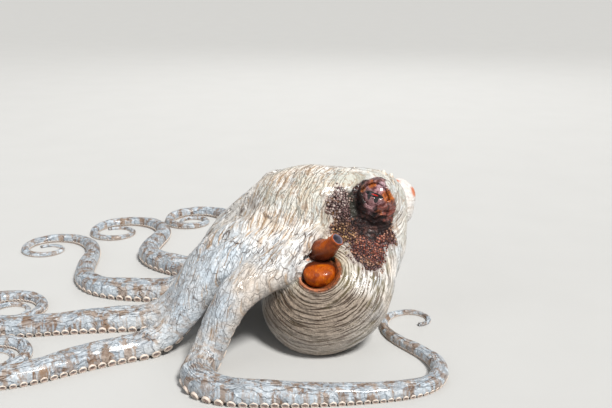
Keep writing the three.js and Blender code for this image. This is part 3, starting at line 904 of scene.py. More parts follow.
def closed_piece(name, points, rings, sides):
    """A tube closed with a fan at each end, its faces outwards. The two end points come last."""
    start, last = rings * sides, (rings - 1) * sides
    faces = [*tube_faces(rings, sides)]
    faces += [(start, (k + 1) % sides, k) for k in range(sides)]
    faces += [(start + 1, last + k, last + (k + 1) % sides) for k in range(sides)]
    thing = mesh_object(name, points, faces)
    with edited(thing.data) as mesh:
        bmesh.ops.recalc_face_normals(mesh, faces=mesh.faces)
        if mesh.calc_volume(signed=True) < 0:
            bmesh.ops.reverse_faces(mesh, faces=mesh.faces)
    return thing


def ball_points(rings, sides):
    """A ball of radius 1 in rings, with its two poles last."""
    theta = np.linspace(0, math.pi, rings + 2)[1:-1, None]
    phi = np.linspace(0, 2 * math.pi, sides, endpoint=False)[None, :]
    flat = np.sin(theta)
    q = np.stack((flat * np.cos(phi), flat * np.sin(phi), np.cos(theta) * np.ones_like(phi)), -1)
    return np.concatenate((q.reshape(-1, 3), ((0, 0, 1), (0, 0, -1))))


EYE_RINGS, EYE_SIDES = 71, 96
COLLAR_RINGS, COLLAR_SIDES = 47, 72
FUNNEL_RINGS, FUNNEL_SIDES = 46, 56
PUPIL_LONG = 6.0
PUPIL_HIGH = 1.5
PUPIL_LOBE = 2.0
PUPIL_DEPTH = 0.07       # as a share of the eyeball's radius
LOBES = ((-2.6, 1.1, 2.0), (2.2, 1.4, 2.6))


def pupil_depth(q):
    """0 on the iris to 1 in the pupil: a bar with two lobes hanging from it."""
    x, y = q[:, 0], q[:, 1]
    bar = (np.abs(x) / PUPIL_LONG) ** 2.6 + (np.abs(y) / PUPIL_HIGH) ** 2
    lobes = [((x - middle) / wide) ** 2 + ((y + PUPIL_LOBE) / high) ** 2 for middle, wide, high in LOBES]
    return 1 - step(np.minimum(bar, np.minimum(*lobes)), 0.7, 1.2)


def make_eye(side):
    eye = EYES[side]
    q = ball_points(EYE_RINGS, EYE_SIDES) * EYEBALL_RADIUS
    depth = pupil_depth(q) * step(q[:, 2], 0, 3)
    q = q * (1 - PUPIL_DEPTH * depth[:, None])
    ball = closed_piece("eyeball_" + side, eye.centre + q @ eye.axes, EYE_RINGS, EYE_SIDES)
    store(ball, "gaze", q)
    store(ball, "pupil", depth)
    return ball


FUNNEL_BULGE = 0.5       # how much wider the funnel is just at its lip


def smooth_path(knots, count):
    """Points along a Catmull-Rom curve through the knots, with their places counted in knots."""
    p = np.array(knots, float)
    p = np.vstack((2 * p[0] - p[1], p, 2 * p[-1] - p[-2]))
    t = np.linspace(0, len(knots) - 1, count)
    i = np.minimum(t.astype(int), len(knots) - 2)
    f = (t - i)[:, None]
    a, b, c, d = p[i], p[i + 1], p[i + 2], p[i + 3]
    curved = (2 * a - 5 * b + 4 * c - d) * f ** 2 + (3 * b - a - 3 * c + d) * f ** 3
    return (2 * b + (c - a) * f + curved) / 2, t


# The funnel's rolled lip and its hollow end: how far out of the tip each ring lies, and how far in.
FUNNEL_LIP = ((0.55, 0.25), (0.6, FUNNEL_WALL - 0.25), (0.0, FUNNEL_WALL), (-1.5, FUNNEL_WALL + 0.075),
              (-4.0, FUNNEL_WALL + 0.2), (-7.0, FUNNEL_WALL + 0.35))
FUNNEL_END = 7.4


def make_funnel():
    """A tapering tube with a rolled lip and a hollow end."""
    count, sides = FUNNEL_RINGS, FUNNEL_SIDES
    path, t = smooth_path(FUNNEL_PATH, count)
    radius = np.interp(t, range(len(FUNNEL_RADII)), FUNNEL_RADII)
    radius = radius + FUNNEL_BULGE * np.exp(-((t - t[-1]) / 0.12) ** 2)
    along = unit(np.gradient(path, axis=0))
    over = unit(np.cross(along, (1, 0, 0)))
    beside = np.cross(along, over)
    out, inset = np.array(FUNNEL_LIP).T
    centres = np.concatenate((path, path[-1] + out[:, None] * along[-1]))
    radii = np.append(radius, radius[-1] - inset)
    own = np.minimum(np.arange(len(radii)), count - 1)
    phi = np.linspace(0, 2 * math.pi, sides, endpoint=False)
    crease = 1 + 0.025 * np.sin(5 * phi + centres[:, :1]) + 0.02 * np.sin(9 * phi - centres[:, 2:])
    wide = (radii[:, None] * crease)[..., None]
    points = (centres[:, None] + np.cos(phi)[:, None] * wide * over[own][:, None]
              + np.sin(phi)[:, None] * wide * beside[own][:, None])
    points = np.concatenate((points.reshape(-1, 3), path[:1], path[-1:] - along[-1] * FUNNEL_END))
    funnel = closed_piece("funnel_tube", points, len(radii), sides)
    inside = np.arange(len(points)) >= (count + 1) * sides
    inside[-2] = False
    store(funnel, "inside", inside)
    # painted light and shade: the funnel lit on its upper side and towards its tip, dark at its foot and on
    # its lower side
    upper = step(np.cos(phi), -1.0, 0.2)
    painted_light = step(t, 1.2, 2.5)[:, None] * 0.4 + step(t, 0.8, 2.0)[:, None] * upper * 0.6
    store(funnel, "bright", np.append(painted_light, np.ones(len(points) - painted_light.size)))
    return funnel


def make_collar():
    """The smooth fold of the mantle's edge that shows under the funnel."""
    shape = Ellipsoid(*COLLAR)
    q = ball_points(COLLAR_RINGS, COLLAR_SIDES)
    x, y, z = q.T
    level = np.sign(z) * np.abs(z) ** 0.75 * np.where(z > 0, 0.84, 1.0)
    beside = np.sign(x) * np.abs(x) ** 0.8 * (1 + 0.14 * z)
    points = shape.centre + (np.stack((beside, y, level), -1) * shape.radii) @ shape.axes
    points = points + (q @ shape.axes) * (0.25 * noise(points, 6.0, 21))[:, None]
    collar = closed_piece("collar_fold", points, COLLAR_RINGS, COLLAR_SIDES)
    store(collar, "inside", np.zeros(len(points)))
    # painted light and shade: the collar lit on its front and top, dark at its back
    store(collar, "bright", step(-y + 0.6 * np.maximum(z, 0), 0.25, 0.7))
    return collar

# ---------------------------------------------------------------- node trees


class Value:
    """A socket that can be reckoned with. Each sum adds its Math node."""

    def __init__(self, graph, socket):
        self.graph = graph
        self.socket = socket

    def __add__(self, other):
        return self.graph.math("ADD", self, other)

    __radd__ = __add__

    def __sub__(self, other):
        return self.graph.math("SUBTRACT", self, other)

    def __rsub__(self, other):
        return self.graph.math("SUBTRACT", other, self)

    def __mul__(self, other):
        return self.graph.math("MULTIPLY", self, other)

    __rmul__ = __mul__

    def __truediv__(self, other):
        return self.graph.math("DIVIDE", self, other)


class Graph:
    """A node tree in the making."""

    def node(self, kind, settings=None, output=0, **sockets):
        """Any node: its settings first, then the values or links of its sockets. Gives one output."""
        made = self.tree.nodes.new(kind)
        for key, value in (settings or {}).items():
            if key == "stops":
                self.set_stops(made, value)
            else:
                setattr(made, key, value)
        for key, value in sockets.items():
            label = int(key[1:]) if key[0] == "n" and key[1:].isdigit() else key.replace("_", " ")
            self.feed(made.inputs[label], value)
        return Value(self, made.outputs[output]) if made.outputs else None

    def feed(self, socket, value):
        if isinstance(value, Value):
            self.tree.links.new(value.socket, socket)
        elif socket.type == "RGBA":
            socket.default_value = (*value, 1)
        else:
            socket.default_value = value

    def math(self, operation, a, b=0.0):
        return self.node("ShaderNodeMath", {"operation": operation}, n0=a, n1=b)

    def vector(self, operation, a, output=0, **sockets):
        return self.node("ShaderNodeVectorMath", {"operation": operation}, output, n0=a, **sockets)

    def split(self, vector):
        parts = self.node("ShaderNodeSeparateXYZ", Vector=vector).socket.node
        return [Value(self, socket) for socket in parts.outputs]


# ---------------------------------------------------------------- what repeats: suckers, beads, papillae

NUMBER = "NodeSocketFloat"


class Tree(Graph):
    """A Geometry Nodes tree with named inputs, of which the last is the finish."""

    def __init__(self, name, inputs):
        self.tree = bpy.data.node_groups.new(name, "GeometryNodeTree")
        self.tree.is_modifier = True
        sockets = self.tree.interface
        sockets.new_socket("Geometry", in_out="INPUT", socket_type="NodeSocketGeometry")
        self.names = {}
        for label, kind, value in inputs:
            socket = sockets.new_socket(label, in_out="INPUT", socket_type=kind)
            socket.default_value = value
            self.names[label] = socket.identifier
        finish = sockets.new_socket("Finish", in_out="INPUT", socket_type="NodeSocketMaterial")
        self.names["Finish"] = finish.identifier
        sockets.new_socket("Geometry", in_out="OUTPUT", socket_type="NodeSocketGeometry")
        self.start = self.node("NodeGroupInput").socket.node

    def set_stops(self, made, stops):
        """Lays a curve through its stops."""
        points = made.mapping.curves[0].points
        for point, stop in zip(list(points), stops):
            point.location = stop
        for stop in stops[len(points):]:
            points.new(*stop)
        made.mapping.update()

    def input(self, label):
        return Value(self, self.start.outputs[label])

    def read(self, name, kind="FLOAT"):
        return self.node("GeometryNodeInputNamedAttribute", {"data_type": kind}, Name=name)

    def keep(self, geometry, name, value):
        return self.node("GeometryNodeStoreNamedAttribute", {"data_type": "FLOAT", "domain": "POINT"},
                         Geometry=geometry, Name=name, Value=value)

    def turned(self, sides, rings, widths, heights):
        """A closed turned shape: a ball whose rings are laid on a profile of widths and heights."""
        ball = self.node("GeometryNodeMeshUVSphere", Segments=sides, Rings=rings, Radius=1.0)
        x, y, z = self.split(self.node("GeometryNodeInputPosition"))
        share = self.math("ARCCOSINE", z) / math.pi
        width, height = (self.node("ShaderNodeFloatCurve", {"stops": stops}, Value=share)
                         for stops in (widths, heights))
        level = self.vector("NORMALIZE", self.node("ShaderNodeCombineXYZ", X=x, Y=y))
        lift = self.node("ShaderNodeCombineXYZ", Z=height * 2.0 - 1.0)
        whole = self.vector("ADD", self.vector("SCALE", level, Scale=width), n1=lift)
        return self.node("GeometryNodeSetPosition", Geometry=self.keep(ball, "rise", share), Position=whole)

    def plant(self, points, shape, facing, size):
        """The shape on every point, made into one smooth mesh that wears the finish."""
        planted = self.node("GeometryNodeInstanceOnPoints", Points=points, Instance=shape, Rotation=facing,
                            Scale=size)
        real = self.node("GeometryNodeRealizeInstances", Geometry=planted)
        smooth = self.node("GeometryNodeSetShadeSmooth", Geometry=real)
        finished = self.node("GeometryNodeSetMaterial", Geometry=smooth, Material=self.input("Finish"))
        self.node("NodeGroupOutput", n0=finished)


def planted_tree(name, *shape):
    """A turned shape on each point, as large as its size and facing its out direction."""
    tree = Tree(name, (("Scale", NUMBER, 1.0),))
    out = tree.read("out", "FLOAT_VECTOR")
    facing = tree.node("FunctionNodeAlignRotationToVector", {"axis": "Z"}, Vector=out)
    points = tree.node("GeometryNodeMeshToPoints", Mesh=tree.input("Geometry"))
    tree.plant(points, tree.turned(*shape), facing, tree.read("size") * tree.input("Scale"))
    return tree


def beads_tree(name, *shape):
    """Small beads spread evenly over a surface wherever its bead value says so."""
    tree = Tree(name, (("Least Gap", NUMBER, 0.001), ("Density", NUMBER, 1e6), ("Seed", "NodeSocketInt", 4),
                       ("Small", NUMBER, 0.0004), ("Large", NUMBER, 0.0008)))
    points = tree.node("GeometryNodeDistributePointsOnFaces", {"distribute_method": "POISSON"},
                       Mesh=tree.input("Geometry"), Distance_Min=tree.input("Least Gap"),
                       Density_Max=tree.input("Density"), Density_Factor=tree.read("bead"),
                       Seed=tree.input("Seed"))
    facing = Value(tree, points.socket.node.outputs["Rotation"])

    def chance(seed, **limits):
        return tree.node("FunctionNodeRandomValue", {"data_type": "FLOAT"}, output=1, Seed=seed, **limits)

    size = chance(tree.input("Seed"), n2=tree.input("Small"), n3=tree.input("Large"))
    tree.plant(tree.keep(points, "tint", chance(TINT_SEED)), tree.turned(*shape), facing, size)
    return tree


# Turned shapes: their sides and rings, then widths and heights from the middle of the top to that of
# the underside. The heights go from 0 to 1.
SUCKER = (8, 7, ((0, 0), (0.17, 0.34), (0.34, 0.66), (0.5, 0.86), (0.67, 1.0), (0.84, 0.92), (1, 0)),
          ((0, 0.42), (0.17, 0.44), (0.34, 0.62), (0.5, 0.78), (0.67, 0.66), (0.84, 0.2), (1, 0.2)))
BEAD = (7, 5, ((0, 0), (0.2, 0.6), (0.4, 0.92), (0.6, 1.0), (0.8, 0.9), (1, 0)),
        ((0, 0.8), (0.2, 0.77), (0.4, 0.64), (0.6, 0.4), (0.8, 0.15), (1, 0.1)))
PAPILLA = (9, 7, ((0, 0), (0.2, 0.3), (0.4, 0.48), (0.6, 0.74), (0.8, 1.2), (1, 0)),
           ((0, 0.9), (0.2, 0.84), (0.4, 0.68), (0.6, 0.5), (0.8, 0.34), (1, 0.28)))

BEAD_SEED = 4
TINT_SEED = 9
LEAST_BEAD = 0.02        # the bead value below which the skin carries none

SUCKER_SIZE = 0.31       # a sucker's radius as a share of the arm's
SUCKER_GAP = 1.08        # the distance between suckers of a row as a share of their width
SUCKER_FIRST = 16.0
SUCKER_STAGGER = 4.0
SUCKER_LAST = 412.0
SUCKER_SUNK = 0.93       # how far out from the arm's line a sucker's foot is


def grown(name, base, tree, finish, **values):
    """A plain mesh of what the tree grows on the base, which is then removed."""
    modifier = base.modifiers.new(name, "NODES")
    modifier.node_group = tree.tree
    for label, value in {"Finish": finish, **values}.items():
        modifier[tree.names[label.replace("_", " ")]] = value
    evaluated = base.evaluated_get(bpy.context.evaluated_depsgraph_get())
    mesh = bpy.data.meshes.new_from_object(evaluated)
    base.modifiers.remove(modifier)
    bpy.data.objects.remove(base)
    mesh.name = name
    return placed(name, mesh)


def planted_points(name, places, outs, sizes):
    base = mesh_object(name, np.array(places), [])
    store(base, "out", np.array(outs))
    store(base, "size", np.array(sizes) * MM)
    return base


def above_floor(thing):
    """Presses flat whatever would sink under the floor."""
    points = read(thing.data.vertices, "co")
    points[:, 2] = np.maximum(points[:, 2], 0)
    thing.data.vertices.foreach_set("co", points.ravel())
    thing.data.update()


def sucker_places(names):
    """Two staggered rows under each arm, smaller towards the tip: places, directions and sizes."""
    found = []
    for arm, side in ((arms[name], side) for name in names for side in (1, -1)):
        s = SUCKER_FIRST if side > 0 else SUCKER_FIRST + SUCKER_STAGGER
        while s < SUCKER_LAST:
            radius = SUCKER_SIZE * float(arm_radius(s))
            turn = math.radians(-58 + 26 * float(step(s, 90, 140)))
            phi = turn if side > 0 else -math.pi - turn
            line, across, top, _ = arm.spot(s)
            middle = line + (arm.outline(s, phi) - line) * SUCKER_SUNK
            if s > JOIN or abs(float(skin_distance(middle[None])[0])) < 2.0:
                found.append((middle, unit(across * math.cos(phi) + top * math.sin(phi) * 0.8), radius))
            s += 2 * radius * SUCKER_GAP
    return zip(*found)


# ---------------------------------------------------------------- finishes

WHITE = (1, 1, 1)


class Finish(Graph):
    """A material in the making. Patterns lie on the object's own place, in millimetres."""

    def __init__(self, name):
        self.material = bpy.data.materials.new(name)
        self.material.use_nodes = True
        self.tree = self.material.node_tree
        self.tree.nodes.clear()
        self.place = self.stretch(self.node("ShaderNodeTexCoord", output="Object"), (1 / MM,) * 3)

    def set_stops(self, made, stops):
        """Sets the stops of a colour ramp."""
        elements = made.color_ramp.elements
        while len(elements) < len(stops):
            elements.new(0.5)
        for element, (place, colour) in zip(elements, stops):
            element.position = place
            element.color = (*colour, 1)

    def attribute(self, name):
        return self.node("ShaderNodeAttribute", {"attribute_name": name}, output="Vector")

    def number(self, name):
        return self.node("ShaderNodeAttribute", {"attribute_name": name}, output="Fac")

    def stretch(self, vector, scale):
        return self.node("ShaderNodeMapping", Vector=vector, Scale=scale)

    def sized(self, vector, *sizes):
        """The vector counted in sizes, one for each direction. A direction of size 0 is left out."""
        return self.stretch(vector, tuple(1 / size if size else 0 for size in sizes))

    def shift(self, vector, by, share):
        """A vector moved by a colour noise, so that a pattern wanders."""
        centred = self.vector("SUBTRACT", by, n1=(0.5, 0.5, 0.5))
        return self.vector("ADD", vector, n1=self.vector("SCALE", centred, Scale=share))

    def distance(self, place):
        """The distance to a place on the animal."""
        return self.vector("DISTANCE", self.place, "Value", n1=tuple((np.array(place) + SHIFT).tolist()))

    def noise(self, size, detail=3.0, rough=0.55, vector=None, output="Fac"):
        return self.node("ShaderNodeTexNoise", output=output, Vector=vector or self.place, Scale=1.0 / size,
                         Detail=detail, Roughness=rough)

    def cells(self, size, feature="F1", vector=None):
        return self.node("ShaderNodeTexVoronoi", {"feature": feature}, "Distance",
                         Vector=vector or self.place, Scale=1.0 / size)

    def step(self, value, low, high):
        return self.node("ShaderNodeMapRange", {"interpolation_type": "SMOOTHSTEP"}, Value=value,
                         From_Min=low, From_Max=high)

    def mix(self, a, b, share, blend_type="MIX"):
        return self.node("ShaderNodeMix", {"data_type": "RGBA", "blend_type": blend_type}, output=2,
                         n0=share, n6=a, n7=b)

    def layers(self, colour, *layers):
        """A colour with others laid over it in turn, each with its share."""
        for over, share in layers:
            colour = self.mix(colour, over, share)
        return colour

    def ramp(self, value, *stops):
        return self.node("ShaderNodeValToRGB", {"stops": stops}, Fac=value)

    def dulled(self, colour, pattern, dark, share):
        """A colour dyed with a darker one where the pattern is low."""
        return self.mix(colour, self.ramp(pattern, (0.3, dark), (0.6, WHITE)), share, "MULTIPLY")

    def relief(self, *layers):
        """Bumps one on the other: heights from 0 to 1, and their depths in millimetres."""
        below = {}
        for height, depth in layers:
            bump = self.node("ShaderNodeBump", Strength=1.0, Distance=depth * MM, Height=height, **below)
            below = {"Normal": bump}
        return below["Normal"]

    def done(self, **sockets):
        shader = self.node("ShaderNodeBsdfPrincipled", **sockets)
        self.node("ShaderNodeOutputMaterial", Surface=shader)
        return self.material


CREAM = (0.87, 0.84, 0.80)
WARM = (0.80, 0.68, 0.55)
COOL = (0.66, 0.72, 0.77)
OCHRE = (0.47, 0.29, 0.14)
OLIVE = (0.15, 0.12, 0.055)
SHADE_SLATE = (0.34, 0.42, 0.50)
BROWN = (0.17, 0.095, 0.055)
PLUM = (0.22, 0.12, 0.12)
GOLD = (0.34, 0.17, 0.05)
ORANGE = (0.62, 0.13, 0.015)
MAUVE = (0.34, 0.17, 0.18)
LINE = (0.10, 0.06, 0.04)
BLACK = (0.012, 0.006, 0.006)

# Blotches on the eye and its lids: along the pupil, across it, radius, and their two colours.
EYE_BLOTCHES = (
    ((2.4, 6.1), 3.6, (0.42, 0.27, 0.30), (0.24, 0.12, 0.14)),
    ((-0.5, -8.5), 4.2, (0.40, 0.22, 0.23), (0.20, 0.09, 0.10)),
    ((7.9, 2.1), 4.8, (0.50, 0.13, 0.015), (0.20, 0.045, 0.01)),
    ((-3.3, 5.3), 3.2, (0.42, 0.11, 0.015), (0.13, 0.028, 0.01)),
    ((-8.6, 0.8), 2.8, (0.40, 0.12, 0.03), (0.10, 0.03, 0.012)),
    ((5.5, -8.5), 2.2, (0.46, 0.15, 0.07), (0.14, 0.04, 0.02)),
)


def blotched(f, colour, gaze, mottle):
    """The colour with the eye's blotches laid over it."""
    x, y, z = gaze
    front = f.step(z, 0.0, 3.0)
    for (cx, cy), radius, bright, deep in EYE_BLOTCHES:
        away = f.math("POWER", (x - cx) * (x - cx) + (y - cy) * (y - cy), 0.5) + (mottle - 0.5) * 3.5
        cover = (1 - f.step(away, radius * 0.45, radius)) * front
        colour = f.mix(colour, f.mix(bright, deep, f.step(mottle, 0.44, 0.6)), cover)
    return colour


def skin_finish():
    f = Finish("skin")
    m = SimpleNamespace()
    for name, parts in STORED.items():
        vars(m).update(zip(parts, f.split(f.attribute(name))))
    wander = f.noise(14.0, output="Color")
    cloud_far = f.noise(18.0, 2)
    fine = f.noise(2.2)
    speck = f.noise(0.7, 2)
    patchy = f.step(f.noise(9.0, 2), 0.4, 0.6)

    def ragged(value, amount, low, high, by=fine):
        """A step whose edge a noise makes uneven."""
        return f.step(value + (by - 0.5) * amount, low, high)

    lined = 1 - SMOOTHING * m.calm
    crease = (1 - m.pad) * lined
    off_bag = 1 - m.bag
    head = (1 - m.limb) * off_bag
    # streaks and long creases down the arms and webs
    fan = f.shift(f.attribute("lane"), wander, 5.0)
    sheet = f.shift(f.attribute("sheet"), wander, 5.0)

    def on_both(texture, *sizes):
        return blend(texture(f.sized(fan, *sizes)), texture(f.sized(sheet, *sizes)), m.share)

    shaded_side = ragged(m.aside, 40.0, 4, 26, cloud_far) * m.share * f.step(m.down, -32, 0)
    netted = f.step(m.down, *NETTED) * m.share
    smoother = 1 - 0.45 * m.share * (1 - netted)
    streaks = on_both(lambda v: f.noise(1.0, 4, 0.65, v), 2.6, 20, 0)
    golden = f.step(streaks + (1 - smoother) * 0.1, 0.54, 0.65)
    threads = f.step(on_both(lambda v: f.noise(1.0, 2, vector=v), 0.7, 12, 0), 0.56, 0.64) * lined
    seams = on_both(lambda v: f.cells(1.0, "DISTANCE_TO_EDGE", v), 2.6, 15, 0)
    net = f.cells(1.0, "DISTANCE_TO_EDGE", f.sized(sheet, 2.3, 6.5, 0))
    seams = (1 - f.step(blend(seams, net, netted), 0.01, 0.07)) * lined
    lower = ragged(m.down, 16.0, -10, 12, cloud_far) * m.share * (1 - shaded_side)
    behind = 1 - ragged(f.distance(BEHIND_EYE), 12.0, 4, 12)
    far = ragged(m.along, 60.0, 55, 150, cloud_far) * m.limb
    mottle = f.step(f.noise(1.0, 4, 0.7, f.sized(fan, 6, 7, 0)), 0.46, 0.58)
    # far along the arms: a painted blue-grey shade, flecked cool, with a brown mottle over it
    tint = f.layers(SHADE_SLATE, (COOL, f.step(fine, 0.5, 0.7) * 0.7), (BROWN, mottle))
    # the pale ground, then the streaks, creases and tints over it, with a painted blue-grey shade on the
    # lower left of the web and far along the arms
    colour = f.layers(
        CREAM, (WARM, f.step(f.noise(22.0), 0.46, 0.7) * 0.8),
        (COOL, f.step(f.noise(17.0), 0.46, 0.66) * 0.7),
        ((0.44, 0.53, 0.62), shaded_side * 0.65), (OCHRE, golden * off_bag * 0.8),
        (LINE, threads * off_bag * (0.2 + 0.6 * patchy) * smoother),
        (LINE, seams * off_bag * (0.15 + 0.7 * patchy)),
        ((0.25, 0.165, 0.11), f.step(crease, 0.5, 0.95) * off_bag * (0.1 + 0.75 * fine) * smoother),
        ((0.42, 0.36, 0.31), lower * 0.58), ((0.40, 0.41, 0.33), behind * (0.3 + 0.6 * fine)),
        (tint, far * 0.75))
    # rings round the mantle's edge
    near_rim = 1 - f.step(m.rim, 14, 60)
    ring = f.shift(f.attribute("ring"), wander, 2.0)
    hoops = f.step(f.noise(1.0, vector=f.sized(ring, 1, 16, 0)), 0.49, 0.6)
    # painted shade below and left of the mantle's opening
    shade_below_rim = near_rim * m.shade
    beside = (1 - ragged(m.rim, 10.0, 3, 15)) * m.bag * (1 - m.shade)
    # the hoops' lines turn near black in the painted shade
    brown_line = f.layers(OLIVE, ((0.11, 0.06, 0.035), patchy), ((0.04, 0.023, 0.014), shade_below_rim * 0.8))
    edge = f.mix((0.34, 0.085, 0.018), (0.12, 0.035, 0.012), f.step(fine, 0.42, 0.58))
    colour = f.layers(
        # the mantle's ground a little darker near the rim, and much darker below the opening as painted
        # shade
        colour, ((0.26, 0.195, 0.14), m.bag * (0.06 + 0.16 * near_rim + 0.66 * shade_below_rim)),
        ((0.46, 0.37, 0.22), beside * 0.6), (brown_line, hoops * m.bag * (0.25 + 0.7 * near_rim)),
        (OLIVE, f.step(crease, 0.45, 0.95) * m.bag * (0.3 + 0.65 * near_rim)),
        # painted shade: near black deep inside the mantle's opening
        (edge, (1 - f.step(m.rim, 0.8, 2.6)) * m.bag * 0.95), ((0.012, 0.005, 0.004), m.deep))
    # brown streaks down the side of the head, and the smooth skin over the right eye
    runs = f.noise(1.0, vector=f.sized(f.place, 2, 2, 16))
    stretched = f.step(m.calm, 0.5, 0.9) * (1 - m.turret)
    colour = f.layers(
        colour, ((0.56, 0.57, 0.50), f.step(cloud_far, 0.35, 0.6) * head * 0.55),
        ((0.34, 0.22, 0.14), f.step(runs, 0.52, 0.62) * head * 0.65 * lined),
        ((0.78, 0.74, 0.72), stretched * (0.35 + 0.4 * fine)),
        ((0.56, 0.48, 0.51), f.step(runs, 0.5, 0.68) * stretched * 0.5))
    # the dark patch
    dark = f.layers(
        (0.02, 0.008, 0.007), (PLUM, f.step(f.cells(1.7, "DISTANCE_TO_EDGE"), 0.05, 0.3) * 0.8),
        (GOLD, f.step(f.noise(6.0, 2), 0.56, 0.68) * 0.4))
    grains = ragged(m.patch + (speck - 0.5) * 1.1, 0.9, 0.35, 0.55)
    # the raised ball round the left eye
    side, over, _ = gaze = f.split(f.attribute("gaze"))
    cloud = f.noise(4.0, 4)
    low_left = f.step(over * -1.0 - side * 0.8, -2.0, 14.0)
    low_right = f.step(side - over, 4.0, 14.0)
    black = f.mix(BLACK, (0.07, 0.028, 0.022), f.step(fine, 0.45, 0.65))
    ball = f.layers(
        (0.40, 0.21, 0.20), ((0.09, 0.02, 0.016), f.step(cloud, 0.36, 0.52)),
        ((0.22, 0.05, 0.03), low_right * f.step(fine, 0.35, 0.6) * 0.85),
        (black, f.step(cloud + low_left * 0.36, 0.56, 0.68)),
        ((0.02, 0.008, 0.008), f.step(crease, 0.3, 0.9) * 0.8))
    ball = blotched(f, ball, gaze, f.noise(1.8, 4))
    # the groove, the orange spots and the lip
    colour = f.layers(
        colour, ((0.46, 0.39, 0.36), ragged(m.patch, 0.2, 0.02, 0.35) * 0.62), (dark, grains),
        (ball, ragged(m.turret, 0.5, 0.3, 0.7)),
        # painted shade darkens the groove behind the left eye
        ((0.05, 0.05, 0.04), ragged(m.groove, 0.9, 0.3, 0.8) * 0.85), (ORANGE, m.blush * 0.9),
        ((0.66, 0.27, 0.14), f.step(m.lip, 0.25, 0.7) * 0.85))
    colour = f.dulled(colour, fine, (0.74, 0.72, 0.70), 0.7)
    relief = f.relief((fine, 0.6), (f.cells(1.4), 0.35), ((threads + seams) * off_bag, -0.45),
                      (hoops * m.bag, -0.4))
    return f.done(Base_Color=colour, Roughness=0.34 + 0.25 * fine, Normal=relief,
                  Coat_Weight=0.28 - 0.24 * grains, Coat_Roughness=0.12, Specular_IOR_Level=0.25)


# The beads' own colours near some places: the place, its reach, and the darkest and palest colours.
BEAD_COLOURS = (
    (PATCH_RED, 17, (0.13, 0.022, 0.012), (0.46, 0.19, 0.13)),
    (PATCH_GOLD, 11, (0.12, 0.06, 0.025), (0.56, 0.34, 0.16)),
    (PATCH_PALE, 15, (0.16, 0.11, 0.10), (0.52, 0.42, 0.39)),
    (PATCH_BLACK, 12, (0.012, 0.006, 0.005), (0.20, 0.09, 0.06)),
)


def bead_finish():
    f = Finish("beads")
    soft = f.noise(5.0, 2)
    pick = f.step(f.number("tint"), 0.2, 1.05)
    top = f.mix((0.07, 0.026, 0.016), (0.42, 0.25, 0.17), pick)
    for middle, reach, deep, bright in BEAD_COLOURS:
        away = f.distance(middle) + (soft - 0.5) * 12.0
        top = f.mix(top, f.mix(deep, bright, pick), 1 - f.step(away, reach * 0.4, reach))
    side = f.mix((0.02, 0.007, 0.006), BROWN, f.step(soft, 0.5, 0.7) * 0.6)
    colour = f.mix(top, side, f.step(f.number("rise"), 0.22, 0.5))
    colour = f.dulled(colour, f.noise(0.5, 2), (0.7, 0.68, 0.66), 0.6)
    return f.done(Base_Color=colour, Roughness=0.45, Normal=f.relief((f.noise(0.5, 2), 0.15)),
                  Coat_Weight=0.12, Coat_Roughness=0.12, Specular_IOR_Level=0.25)


def damp_finish(f, colour, size, dark, share, fine):
    """The finish that suckers and papillae share: soft speckles and a fine grain."""
    colour = f.dulled(colour, f.noise(size), dark, share)
    return f.done(Base_Color=colour, Roughness=0.45, Normal=f.relief((f.noise(fine), 0.2)), Coat_Weight=0.2,
                  Coat_Roughness=0.3)


def sucker_finish():
    f = Finish("suckers")
    colour = f.ramp(f.number("rise"), (0.0, (0.42, 0.26, 0.22)), (0.3, (0.60, 0.44, 0.38)),
                    (0.48, (0.80, 0.72, 0.62)), (0.75, (0.66, 0.55, 0.48)))
    return damp_finish(f, colour, 2.5, (0.75, 0.7, 0.68), 0.7, 0.8)


def papilla_finish():
    f = Finish("papillae")
    colour = f.mix((0.74, 0.70, 0.63), (0.58, 0.47, 0.37), f.step(f.number("rise"), 0.25, 0.7))
    return damp_finish(f, colour, 1.2, (0.8, 0.76, 0.72), 0.6, 0.6)


def funnel_finish():
    f = Finish("funnel")
    soft = f.noise(5.0)
    lines = f.noise(1.0, vector=f.sized(f.place, 0.9, 0.9, 3.5))
    colour = f.layers(
        (0.40, 0.074, 0.002), ((0.21, 0.031, 0.002), f.step(soft, 0.42, 0.68)),
        ((0.60, 0.17, 0.006), f.step(f.noise(3.0, 2), 0.56, 0.72) * 0.6),
        ((0.16, 0.03, 0.008), f.step(lines, 0.56, 0.68) * 0.6))
    # painted shade: dark brown where the bright value is low, at the funnel's foot and lower side and the
    # collar's back
    colour = f.mix((0.09, 0.02, 0.008), colour, f.step(f.number("bright") + (soft - 0.5) * 0.5, 0.1, 0.8))
    colour = f.mix(colour, (0.16, 0.15, 0.19), f.number("inside"))
    relief = f.relief((f.noise(1.4, vector=f.stretch(f.place, (1, 1, 0.4))), 0.4), (lines, -0.3))
    return f.done(Base_Color=colour, Roughness=0.42, Normal=relief, Coat_Weight=0.2, Coat_Roughness=0.1,
                  Specular_IOR_Level=0.15)


def eye_finish():
    f = Finish("eyeball")
    x, y, _ = gaze = f.split(f.attribute("gaze"))
    mottle = f.noise(1.8, 4)
    iris = f.mix(MAUVE, (0.10, 0.03, 0.03), f.step(mottle, 0.42, 0.62))
    iris = blotched(f, iris, gaze, mottle)
    # a painted red glint in the pupil
    away = f.math("POWER", (x - 0.5) / 2.6, 2.0) + f.math("POWER", (y - 0.2) / 0.5, 2.0)
    painted_glint = 1 - f.step(f.math("POWER", away, 0.5), 0.6, 1.0)
    colour = f.layers(
        iris, ((0.66, 0.55, 0.58), f.step(f.noise(0.8, 2), 0.68, 0.76) * 0.5),
        ((0.005, 0.003, 0.005), f.step(f.number("pupil"), 0.25, 0.7)), ((0.55, 0.02, 0.012), painted_glint * 0.9))
    return f.done(Base_Color=colour, Roughness=0.22, Coat_Weight=0.8, Coat_Roughness=0.06, IOR=1.38)


